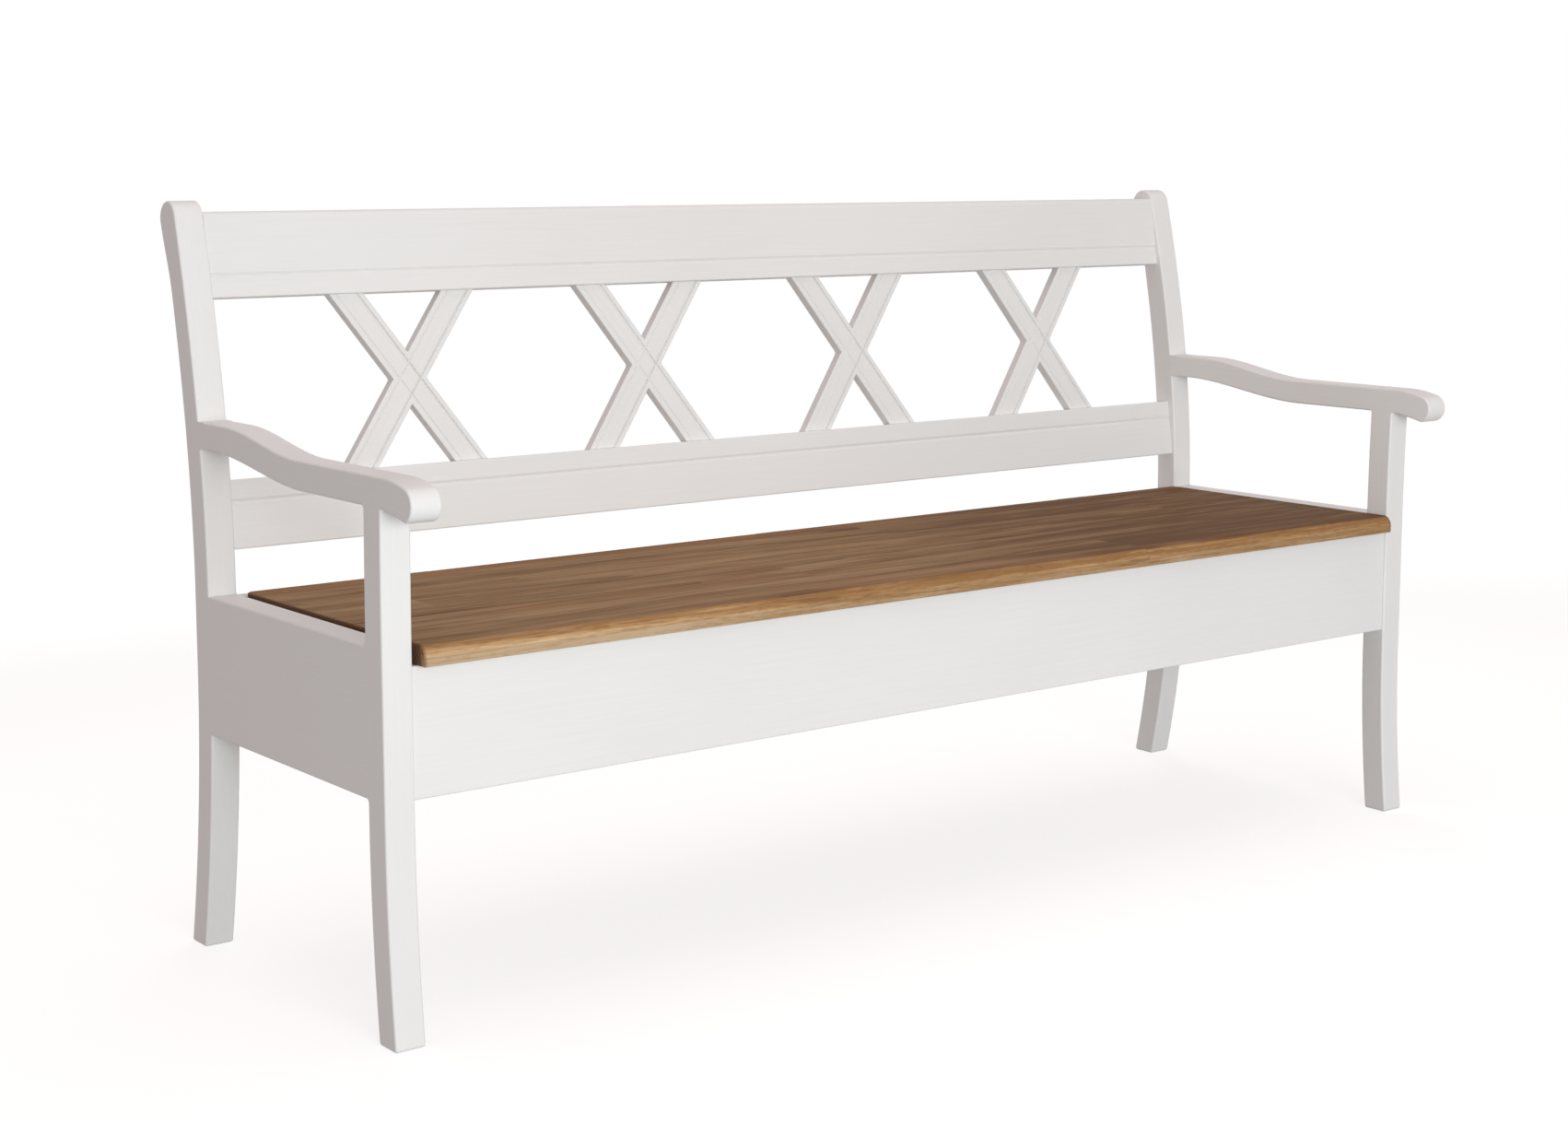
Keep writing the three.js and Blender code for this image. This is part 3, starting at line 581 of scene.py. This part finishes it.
# The arris radius along an outline: nothing inside a joint's span, full again one fade away from it
def arrisBeside(outline, joints, radius):
    distance = np.full(len(outline), bench["far"])
    for (y0, z0), (y1, z1) in joints:
        dy = np.maximum(np.maximum(y0 - outline[:, 0], outline[:, 0] - y1), 0)
        dz = np.maximum(np.maximum(z0 - outline[:, 1], outline[:, 1] - z1), 0)
        distance = np.minimum(distance, np.hypot(dy, dz))
    return np.clip(radius * distance / bench["fade"], bench["closed"], radius)


def arc(centre, radius, fromDegrees, toDegrees, steps):
    angle = np.radians(np.linspace(fromDegrees, toDegrees, steps + 1))
    return np.stack([centre[0] + radius * np.cos(angle), centre[1] + radius * np.sin(angle)], -1)


# A Bezier curve through its first and last point, of degree two or three
def bezier(points, steps):
    t = np.linspace(0, 1, steps + 1)[:, None]
    while len(points) > 1:
        points = [(1 - t) * p + t * q for p, q in zip(points[:-1], points[1:])]
    return points[0]


def smooth(t):
    t = np.clip(t, 0, 1)
    return t * t * (3 - 2 * t)


# Arms; their heights are also the posts'
arms = {
    "rise": 0.159,  # of the flat underside above the seat
    "thickness": 0.036,
    "topRise": 0.024,
    "undersideRise": 0.0255,
    "topSpan": (0.434, 0.869),  # where the S starts and ends, of the distance between the posts
    "undersideSpan": (0.411, 0.948),
    "overhang": 0.073,
    "scrollRadius": 0.0203,
    "scrollDrop": 0.0108,
    "scrollTop": ((0.34, 0.02), (0.60, -0.08)),  # of the overhang and the thickness
    "scrollUnder": (0.49, 0.41),  # of the overhang and the drop
    "scrollDegrees": (105, 260),
    "cornerRound": 1.4,  # of the arris, at the hollow corner under the scroll
    "steps": 90,  # along the top and the underside
    "endSteps": 5,
    "scrollSteps": (22, 32, 18),  # into the scroll, round it and out of it
}
armLow = seatTop + arms["rise"]
armRearLow = armLow + arms["undersideRise"]
armRearHigh = armLow + arms["thickness"] + arms["topRise"]

posts = {
    "frontDepth": 0.040,
    "frontFootSweep": 0.0145,
    "frontKnee": 0.260,
    "frontHeadSweep": 0.0025,
    "rearDepth": 0.0395,
    "rearFootSweep": 0.0395,
    "rearKnee": 0.380,
    "backSweep": 0.0695,
    "backStart": 0.010,  # above the seat
    "backPower": 1.8,
    "headRadius": 0.0225,
    "neckDrop": 0.091,
    "headDegrees": (-14, 166),
    "sweptBack": 0.004,  # how far the rear posts' front has swept back at the seat box's underside
    "footRound": 1.2,  # of the arris
    "rearSteps": (90, 20, 28, 100),  # up the rear, along the swell, round the head and down the front
    "frontSteps": 70,
}


# The posts' front edges at a height: straight, with a foot swept by the square of the distance below
# the knee, and above the seat a lean that grows by a power of the height
def frontFace(z):
    foot = np.maximum(0, 1 - z / posts["frontKnee"])
    head = np.maximum(0, (z - seatTop) / (armLow - seatTop))
    return frontY - posts["frontFootSweep"] * foot**2 - posts["frontHeadSweep"] * head**2


def rearFace(z):
    foot = np.maximum(0, 1 - z / posts["rearKnee"])
    backStart = seatTop + posts["backStart"]
    back = np.maximum(0, (z - backStart) / (benchTop - backStart))
    return rearY + posts["rearFootSweep"] * foot**2 + posts["backSweep"] * back ** posts["backPower"]


def upright(z, y):
    return np.stack([y, z], -1)


def rearPostOutline():
    radius = posts["headRadius"]
    rearSteps, swellSteps, headSteps, frontSteps = posts["rearSteps"]
    start = math.radians(posts["headDegrees"][1])
    headZ = benchTop - radius
    headY = float(rearFace(headZ + radius * math.sin(start))) - radius * math.cos(start)
    head = arc((headY, headZ), radius, *posts["headDegrees"], headSteps)
    neckZ = headZ - posts["neckDrop"]
    z = withStops(0, neckZ, rearSteps)
    rear = upright(z, rearFace(z) + posts["rearDepth"])
    third = (head[0, 1] - neckZ) / 3
    neckSlope = float(rearFace(neckZ) - rearFace(neckZ - third)) / third
    headSlope = math.tan(math.radians(-posts["headDegrees"][0]))
    lower = rear[-1] + third * np.array([neckSlope, 1])
    upper = head[0] - third * np.array([headSlope, 1])
    swell = bezier([rear[-1], lower, upper, head[0]], swellSteps)
    stops = (boxBottom, sidePanelHigh.z, armRearLow, armRearHigh)
    z = withStops(0, float(head[-1, 1]), frontSteps, stops)[::-1]
    front = upright(z, rearFace(z))
    return np.concatenate([rear, swell[1:], head[1:], front[1:]])


def frontPostOutline():
    z = withStops(0, armLow, posts["frontSteps"], (boxBottom, sidePanelHigh.z, armLow))
    rear = upright(z, frontFace(z) + posts["frontDepth"])
    front = upright(z, frontFace(z))[::-1]
    return np.concatenate([rear, front])


def armOutline():
    spacing = rearY - frontY
    top = armLow + arms["thickness"]

    def topAt(y):
        low, high = arms["topSpan"]
        return top + arms["topRise"] * smooth(((y - frontY) / spacing - low) / (high - low))

    def undersideAt(y):
        low, high = arms["undersideSpan"]
        return armLow + arms["undersideRise"] * smooth(((y - frontY) / spacing - low) / (high - low))

    z = np.linspace(armRearLow, armRearHigh, arms["endSteps"])
    end = upright(z, rearFace(z))
    fade = bench["fade"]
    underEnd, topEnd = float(end[0, 0]), float(end[-1, 0])
    y = np.linspace(topEnd - 2 * fade, frontY, arms["steps"])
    y = np.unique([topEnd - fade, topEnd - fade / 2, *y])[::-1]
    over = upright(topAt(y), y)
    postFront = float(frontFace(armLow))
    postRear = postFront + posts["frontDepth"]
    y = withStops(postFront, underEnd, arms["steps"], (postFront, postRear, underEnd))[:-1]
    under = upright(undersideAt(y), y)
    radius = arms["scrollRadius"]
    reach = arms["overhang"]
    drop = arms["scrollDrop"]
    centre = (frontY - reach + radius, armLow - drop + radius)
    inSteps, roundSteps, outSteps = arms["scrollSteps"]
    scroll = arc(centre, radius, *arms["scrollDegrees"], roundSteps)
    (a, b), (c, d) = arms["scrollTop"]
    corners = [(frontY, top), (frontY - reach * a, top + arms["thickness"] * b)]
    corners += [(frontY - reach * c, top + arms["thickness"] * d), scroll[0]]
    overBlend = bezier([np.array(p) for p in corners], inSteps)
    (a, b) = arms["scrollUnder"]
    corners = [scroll[-1], (frontY - reach * a, armLow - drop * b), (postFront, armLow)]
    underBlend = bezier([np.array(p) for p in corners], outSteps)
    return np.concatenate([end, over, overBlend[1:], scroll[1:], underBlend[1:-1], under])


sidePanel = {
    "heightSteps": 24,
    "depthSteps": 12,
}


def sidePanelOutline():
    low, high = boxBottom, sidePanelHigh.z
    z = np.linspace(low, high, sidePanel["heightSteps"])
    rear = upright(z, rearFace(z))
    front = upright(z, frontFace(z) + posts["frontDepth"])[::-1]
    fade = bench["fade"]
    over = np.linspace(rear[-1], front[0], sidePanel["depthSteps"])[1:-1]
    over = np.concatenate([over, [[rear[-1, 0] - fade, high], [front[0, 0] + fade, high]]])
    over = over[np.argsort(-over[:, 0])]
    under = over[::-1] * (1, 0) + (0, low)
    return np.concatenate([rear, over, front, under])


# The joints of one side, as the lowest and highest Y and Z of each, and its four pieces
def makeSide(side, x0, x1):
    arris, tiny, overlap, far = bench["arris"], bench["tiny"], bench["overlap"], bench["far"]
    boxFront = frontY + posts["frontDepth"]
    boxSpan = ((boxFront - overlap, boxBottom), (rearY + posts["sweptBack"], sidePanelHigh.z))
    armEnd = ((rearY - overlap, armRearLow), (float(rearFace(armRearHigh)) + overlap, armRearHigh))
    postFront = float(frontFace(armLow))
    postTop = ((postFront, armLow - tiny), (postFront + posts["frontDepth"], armLow + tiny))
    panelRear = ((rearY - tiny, boxBottom - far), (rearY + far, sidePanelHigh.z + far))
    panelFront = ((frontY - far, boxBottom - far), (boxFront + tiny, sidePanelHigh.z + far))
    foot = arris * posts["footRound"]

    def add(part, outline, joints, softness, along):
        outline = eased(outline, softness)
        rings = carried(outline, x0, x1, arrisBeside(outline, joints, arris))
        name = side + part.title().replace("_", "")
        woodenPiece(name, rings, paintMaterial, "frame", along, f"{side}_{part}")

    add("rear_post", rearPostOutline(), (boxSpan, armEnd), foot, (0, 0, 1))
    add("front_post", frontPostOutline(), (boxSpan, postTop), (foot, tiny, tiny, foot), (0, 0, 1))
    add("arm", armOutline(), (armEnd, postTop), (tiny, tiny, arris * arms["cornerRound"]), (0, 1, 0))
    add("side_panel", sidePanelOutline(), (panelRear, panelFront), tiny, (0, 1, 0))


makeSide("left", -outerX, -innerX)
makeSide("right", innerX, outerX)
print("posts, arms and side panels made")


# Seat box
box = {
    "panelArris": 0.0018,
    "bearerArris": 0.001,
    "endArris": 0.0005,
    "fit": 0.0003,  # the model's glue line between rails and posts, which paint fills here
}


def rectangle(y0, z0, y1, z1):
    return np.array([(y0, z0), (y1, z0), (y1, z1), (y0, z1)])


def boardAlongX(name, node, arris, material, half=None):
    low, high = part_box(node)
    outline = eased(rectangle(low.y, low.z, high.y, high.z), arris)
    x0, x1 = (low.x, high.x) if half is None else (-half, half)
    rings = carried(outline, x0, x1, box["endArris"])
    woodenPiece(name, rings, material, "frame", (1, 0, 0), node)


# The panels' boxes in the model include their hidden tenons, so they run between the posts here
boardAlongX("frontPanel", "front_panel", box["panelArris"], paintMaterial, innerX)
boardAlongX("backPanel", "back_panel", box["panelArris"], paintMaterial, innerX)
for part in ("front_bearer", "rear_bearer", "box_floor"):
    name = part.split("_")[0] + part.split("_")[1].title()
    boardAlongX(name, part, box["bearerArris"], bareMaterial)


def endBearer(side):
    low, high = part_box(f"{side}_bearer")
    outline = eased(rectangle(low.y, low.z, high.y, high.z), box["bearerArris"])
    rings = carried(outline, low.x, high.x, box["endArris"])
    woodenPiece(side + "Bearer", rings, bareMaterial, "frame", (0, 1, 0), f"{side}_bearer")


endBearer("left")
endBearer("right")
print("seat box made")


# Seat
seat = {
    "thickness": 0.025,
    "noseDepth": 0.013,
    "noseDrop": 0.018,
    "frontCorner": 0.002,
    "rearCorner": 0.014,
    "edge": 0.0018,  # rounding of the long and end edges
    "underEdge": 0.0015,
    "edgeShare": 0.45,  # most that this rounding takes of the board's height where the nose thins it
    "roundPoints": 15,
    "depthPoints": 24,
    "edgePoints": 6,
    "lengthPoints": 25,
}


# Sections across Y: at each depth a rounded rectangle in X and Z. Its half length follows the corner
# rounds, half - r + sqrt(r^2 - t^2), and its top follows the nose, a quarter of an ellipse
def seatRings():
    front, rear = seatLow.y, seatHigh.y
    half, top, under = seatHigh.x, seatTop, seatTop - seat["thickness"]
    whole = rear - front
    a = np.linspace(0, math.pi / 2, seat["roundPoints"])
    depth = [np.array([0]), seat["underEdge"] * (1 - np.cos(a[::3])), seat["noseDepth"] * (1 - np.cos(a))]
    depth += [np.linspace(seat["noseDepth"], whole - seat["rearCorner"], seat["depthPoints"])]
    depth += [whole - seat["rearCorner"] * (1 - np.sin(a)), whole - seat["edge"] * (1 - np.sin(a[::2]))]
    depth = np.unique(np.concatenate(depth).round(6))
    fromRear = whole - depth

    def roundOff(distance, radius):
        inside = np.clip(1 - distance / radius, 0, 1)
        return radius * (1 - np.sqrt(1 - inside**2))

    halfLength = half - roundOff(depth, seat["frontCorner"]) - roundOff(fromRear, seat["rearCorner"])
    upper = top - roundOff(depth, seat["noseDepth"]) * seat["noseDrop"] / seat["noseDepth"]
    upper -= roundOff(fromRear, seat["edge"])
    lower = under + roundOff(depth, seat["underEdge"]) + roundOff(fromRear, seat["underEdge"])
    radius = np.minimum(seat["edge"], seat["edgeShare"] * (upper - lower))

    # One section: four corner rounds, joined by straight runs along the top and bottom
    turn = np.linspace(0, math.pi / 2, seat["edgePoints"])
    run = np.linspace(-1, 1, seat["lengthPoints"])[1:-1]
    level, corner = 0 * run, 0 * turn + 1
    cos, sin = np.cos(turn), np.sin(turn)
    cosines = np.concatenate([cos, level, -sin, -cos, level, sin])
    sines = np.concatenate([sin, level + 1, cos, -sin, level - 1, -cos])
    sideways = np.concatenate([corner, -run, -corner, -corner, run, corner])
    isTop = np.arange(len(sines)) < len(sines) // 2
    r = radius[:, None]
    x = sideways * (halfLength[:, None] - r) + r * cosines
    z = np.where(isTop, upper[:, None] - r, lower[:, None] + r) + r * sines
    y = np.broadcast_to(front + depth[:, None], x.shape)
    return np.stack([x, y, z], -1)


woodenPiece("seatBoard", seatRings(), oakMaterial, "seat", (1, 0, 0), "seat")
print("seat made")


# Back frame: depth behind its front and height up its slope, turned into the bench's own Y and Z
back = {
    "lowerRailRise": 0.0535,  # above the seat
    "lowerRailSetback": 0.0053,
    "crestDrop": 0.013,
    "lowerRailHeight": 0.089,
    "crestHeight": 0.111,
    "railThickness": 0.025,
    "crestRound": 0.008,
    "edge": 0.002,
    "grooveInset": 0.025,
    "grooveWidth": 0.007,
    "grooveDepth": 0.0022,
    "grooveEdge": 0.0007,
}
footZ = seatTop + back["lowerRailRise"]
crestZ = benchTop - back["crestDrop"]
footY = float(rearFace(footZ)) + back["lowerRailSetback"]
backRun = float(rearFace(crestZ)) - footY
lean = math.atan2(backRun, crestZ - footZ)
backLength = math.hypot(backRun, crestZ - footZ)


def onSlope(points):
    depth, height = points[..., -2], points[..., -1]
    y = footY + depth * math.cos(lean) + height * math.sin(lean)
    z = footZ + height * math.cos(lean) - depth * math.sin(lean)
    return np.concatenate([points[..., :-2], np.stack([y, z], -1)], -1)


def rail(name, node, low, high, topFront, grooveHeight):
    thick, width, deep = back["railThickness"], back["grooveWidth"], back["grooveDepth"]
    edge, fine = back["edge"], back["grooveEdge"]
    groove = [(0, grooveHeight + width / 2), (deep, grooveHeight), (0, grooveHeight - width / 2)]
    outline = np.array([(0, low), (thick, low), (thick, high), (0, high)] + groove)
    outline = eased(outline, (edge, edge, edge, topFront, fine, fine / 4, fine))
    rings = carried(onSlope(outline), -innerX, innerX, box["endArris"])
    woodenPiece(name, rings, paintMaterial, "frame", (1, 0, 0), node)


inset = back["grooveInset"] + back["grooveWidth"] / 2
crestLow = backLength - back["crestHeight"]
lowerHigh = back["lowerRailHeight"]
rail("lowerBackRail", "lower_back_rail", 0, lowerHigh, back["edge"], lowerHigh - inset)
rail("crestRail", "crest_rail", crestLow, backLength, back["crestRound"], crestLow + inset)
print("rails made")


# Crosses
cross = {
    "count": 4,
    "pitch": 0.2246,  # of the rails' length
    "spread": 0.0979,
    "width": 0.041,
    "thickness": 0.016,
    "setback": 0.007,
    "edge": 0.0016,
    "grooveInset": 0.008,
    "grooveWidth": 0.0030,
    "grooveDepth": 0.0024,
    "grooveWall": 0.0004,  # run of the steep wall beside the margin
    "lapGap": 0.00002,
    "edgeRows": (-0.00002, 0, 0.0015, 0.003, 0.006),  # beside the other strip's edges
    "innerRows": 3,
    "farRows": 14,
    "farStart": 0.012,
    "arrisRun": 0.003,  # length over which the arris runs out beside the crossing
    "arrisLeft": 0.00003,
    "middle": 0.8,  # of the space between the grooves
    "middlePoints": 5,
}
railLength = 2 * (innerX - box["fit"])
crossMid = (lowerHigh + crestLow) / 2
crossHeight = crestLow - lowerHigh
stripLean = math.atan2(railLength * cross["spread"], crossHeight)


# A strip on a sheared grid. s runs along it and t across it; a row is a line of constant b, which at the
# crossing lies along the other strip's edges and turns level towards the rails: s = b + t * shear(b).
# Its front is a height field: the strip's own grooves in t, the other's grooves in b, and the halving.
# A groove falls steeply from the margin and rises gently to the middle of the strip
def stripRings(x, side, inFront):
    half, thick, edge = cross["width"] / 2, cross["thickness"], cross["edge"]
    mouth, deep = cross["grooveWidth"] / 2, cross["grooveDepth"]
    place = half - cross["grooveInset"]
    outer, bottom, inner = place + mouth, place + mouth - cross["grooveWall"], place - mouth
    level = math.tan(stripLean)  # shear that makes a row level
    along = -1 / math.tan(2 * stripLean)  # shear that lays a row along the other strip
    reach = crossHeight / 2 / math.cos(stripLean)
    wide = 1 / math.sin(2 * stripLean)  # along this strip, per unit across the other

    # Rows: the ends, the other strip's edges and grooves, and some between
    close = np.linspace(0, inner - bench["overlap"], cross["innerRows"])
    close = np.concatenate([half + np.array(cross["edgeRows"]), [outer, bottom, inner], close]) * wide
    b = np.concatenate([close, np.linspace(half * wide + cross["farStart"], reach, cross["farRows"])])
    b = np.unique(np.concatenate([-b, b]).round(7))
    away = np.clip((np.abs(b) - half * wide) / (reach - half * wide), 0, 1)
    shear = side * (along + (level - along) * smooth(away))

    def groove(value):
        return np.interp(np.abs(value), [inner, bottom, outer], [0, deep, 0])

    # Round the section: front from left to right, then the back from right to left. The arrises die out
    # where the strips are flush
    arris = edge * (np.abs(b) / wide - half) / cross["arrisRun"]
    arris = np.clip(arris, cross["arrisLeft"], edge)[:, None]
    a = np.linspace(0, math.pi / 2, bench["arrisSteps"] + 1)
    flats = np.array([outer, bottom, inner])
    middle = np.linspace(-cross["middle"], cross["middle"], cross["middlePoints"]) * inner
    flats = np.concatenate([-flats, middle, flats[::-1]])
    flatT = np.broadcast_to(flats, (len(b), len(flats)))
    rise, run = 1 - np.sin(a), 1 - np.cos(a)
    t = np.concatenate([arris * run - half, flatT, half - arris * run[::-1]], 1)
    front = np.concatenate([arris * rise, groove(flatT), arris * rise[::-1]], 1)
    behind = thick - np.concatenate([arris * rise, 0 * flatT, arris * rise[::-1]], 1)
    inCross = np.abs(b)[:, None] < half * wide - 1e-6
    front = np.where(inCross, np.maximum(front, groove(b / wide)[:, None]), front)

    # The halving: half of the thickness is gone over the other strip's width
    if inFront:
        behind = np.where(inCross, np.minimum(behind, thick / 2 - cross["lapGap"]), behind)
    else:
        front = np.where(inCross, np.maximum(front, thick / 2 + cross["lapGap"]), front)
    t = np.concatenate([t, t[:, ::-1]], 1)
    depth = cross["setback"] + np.concatenate([front, behind[:, ::-1]], 1)
    s = b[:, None] + t * shear[:, None]
    # From the strip's own directions into the back frame: s leans to its side, t is square to it
    across = x + side * s * math.sin(stripLean) + t * math.cos(stripLean)
    height = crossMid + s * math.cos(stripLean) - side * t * math.sin(stripLean)
    return onSlope(np.stack([across, depth, height], -1))


for number in range(cross["count"]):
    x = (number - (cross["count"] - 1) / 2) * railLength * cross["pitch"]
    for letter, side, inFront in (("A", -1, True), ("B", 1, False)):
        name = f"cross{number + 1}Strip{letter}"
        node = f"cross_{number + 1}_strip_{letter.lower()}"
        up = math.cos(stripLean)
        along = (side * math.sin(stripLean), math.sin(lean) * up, math.cos(lean) * up)
        rings = stripRings(x, side, inFront)
        woodenPiece(name, rings, paintMaterial, "frame", along, node)
print("crosses made")


# Hinges and screws keep the model's own shape
for node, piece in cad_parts.items():
    if "hinge" in node or "screw" in node:
        piece.data.materials.clear()
        piece.data.materials.append(steelMaterial)
print("hinges finished")


# Floor: white far from the bench; near it the shaded floor shows, so that the bench stands on its shadow
floor = {
    "half": 30.0,
    "colour": (0.50, 0.50, 0.50, 1),
    "glow": 0.69,  # what the camera sees near the bench on top of the lit floor
    "stretch": (0.72, 1, 1),  # makes the shaded part an oval along the bench
    "fadeFrom": 1.3,
    "fadeTo": 3.4,
}


# 1 for what the camera sees, straight or in gloss and glass, and 0 for the light on the bench
def seenByCamera(tree):
    path = addNode(tree, "ShaderNodeLightPath").outputs
    seen = reckon(tree, "MAXIMUM", path["Is Glossy Ray"], path["Is Transmission Ray"])
    return reckon(tree, "MAXIMUM", path["Is Camera Ray"], seen)


def makeFloor():
    half = floor["half"]
    corners = np.array([(-1, -1, 0), (1, -1, 0), (1, 1, 0), (-1, 1, 0)]) * half
    mesh = bpy.data.meshes.new("floor")
    mesh.from_pydata(corners.tolist(), [], [(0, 1, 2, 3)])
    material = bpy.data.materials.new("pale floor")
    material.use_nodes = True
    tree = material.node_tree
    tree.nodes.clear()
    place = addNode(tree, "ShaderNodeTexCoord").outputs["Object"]
    away = lengthOf(tree, scaled(tree, place, floor["stretch"]))
    white = ramp(tree, away, floor["fadeFrom"], floor["fadeTo"])
    seen = seenByCamera(tree)
    # Near the bench the camera sees part of the lit floor plus a glow, far away the glow alone, at white
    glow = ramp(tree, white, 0, 1, floor["glow"], 1.0)
    glow = addNode(tree, "ShaderNodeEmission", {"Strength": reckon(tree, "MULTIPLY", glow, seen)}).outputs[0]
    matt = addNode(tree, "ShaderNodeBsdfDiffuse", {"Color": floor["colour"]}).outputs[0]
    dim = addNode(tree, "ShaderNodeBsdfDiffuse", {"Color": (0, 0, 0, 1)}).outputs[0]
    hidden = reckon(tree, "MULTIPLY", seen, white)
    matt = addNode(tree, "ShaderNodeMixShader", {0: hidden, 1: matt, 2: dim}).outputs[0]
    mixed = addNode(tree, "ShaderNodeAddShader", {0: matt, 1: glow}).outputs[0]
    addNode(tree, "ShaderNodeOutputMaterial", {"Surface": mixed})
    mesh.materials.append(material)
    ground = bpy.data.objects.new("floor", mesh)
    bpy.context.scene.collection.objects.link(ground)


makeFloor()

# Light: a wide, low window in front, a soft one overhead, a third behind for the rear and the right side,
# a little warm light from all round, and white where the camera looks. Colours are at full strength in
# their brightest channel
light = {
    "frontPlace": (-1.5, -5.0, 1.0),
    "frontSize": (3.0, 1.8),
    "frontPower": 169,
    "frontColour": (0.905, 0.978, 1.0),
    "overPlace": (0.0, 0.0, 4.0),
    "overSize": (4.0, 4.0),
    "overPower": 27,
    "overColour": (1.0, 0.90, 0.91),
    "rearPlace": (3.0, 4.6, 0.9),
    "rearSize": (3.0, 2.0),
    "rearPower": 95,
    "rearColour": (0.94, 0.99, 1.0),
    "aim": (0.0, 0.001, 0.5),
    "roundColour": (1.0, 0.86, 0.83),
    "roundStrength": 0.45,
}


def softWindow(name):
    lamp = bpy.data.lights.new(name, "AREA")
    lamp.shape = "RECTANGLE"
    lamp.size, lamp.size_y = light[name + "Size"]
    lamp.energy = light[name + "Power"]
    lamp.color = light[name + "Colour"]
    holder = bpy.data.objects.new(name, lamp)
    place = np.array(light[name + "Place"])
    aim = np.array(light["aim"]) - place
    holder.location = place
    holder.rotation_euler = (math.acos(-aim[2] / np.linalg.norm(aim)), 0, math.atan2(-aim[0], aim[1]))
    holder.visible_glossy = name != "rear"  # else it glares on the arms and the seat, seen from the front
    bpy.context.scene.collection.objects.link(holder)


def makeLight():
    for name in ("front", "over", "rear"):
        softWindow(name)
    world = bpy.data.worlds.new("studio")
    world.use_nodes = True
    tree = world.node_tree
    tree.nodes.clear()
    warm = {"Color": (*light["roundColour"], 1), "Strength": light["roundStrength"]}
    warm = addNode(tree, "ShaderNodeBackground", warm).outputs[0]
    white = addNode(tree, "ShaderNodeBackground", {"Color": (1, 1, 1, 1), "Strength": 1.0}).outputs[0]
    mixed = addNode(tree, "ShaderNodeMixShader", {0: seenByCamera(tree), 1: warm, 2: white}).outputs[0]
    addNode(tree, "ShaderNodeOutputWorld", {"Surface": mixed})
    bpy.context.scene.world = world


makeLight()

camera = {
    "place": (-2.25524, -2.71100, 1.01720),
    "turnDegrees": 37.775,  # to the right of straight ahead
    "tiltDegrees": -7.672,
    "lens": 57.752,
    "sensor": 36,
    "shift": (0.00645, -0.04156),
}


def makeCamera():
    data = bpy.data.cameras.new("camera")
    data.lens = camera["lens"]
    data.sensor_width = camera["sensor"]
    data.shift_x, data.shift_y = camera["shift"]
    holder = bpy.data.objects.new("camera", data)
    holder.location = camera["place"]
    tilt, turn = math.radians(90 + camera["tiltDegrees"]), math.radians(camera["turnDegrees"])
    holder.rotation_euler = (tilt, 0, -turn)
    bpy.context.scene.collection.objects.link(holder)
    bpy.context.scene.camera = holder


makeCamera()
bpy.context.scene.view_settings.view_transform = "Standard"
print("floor, light and camera made")
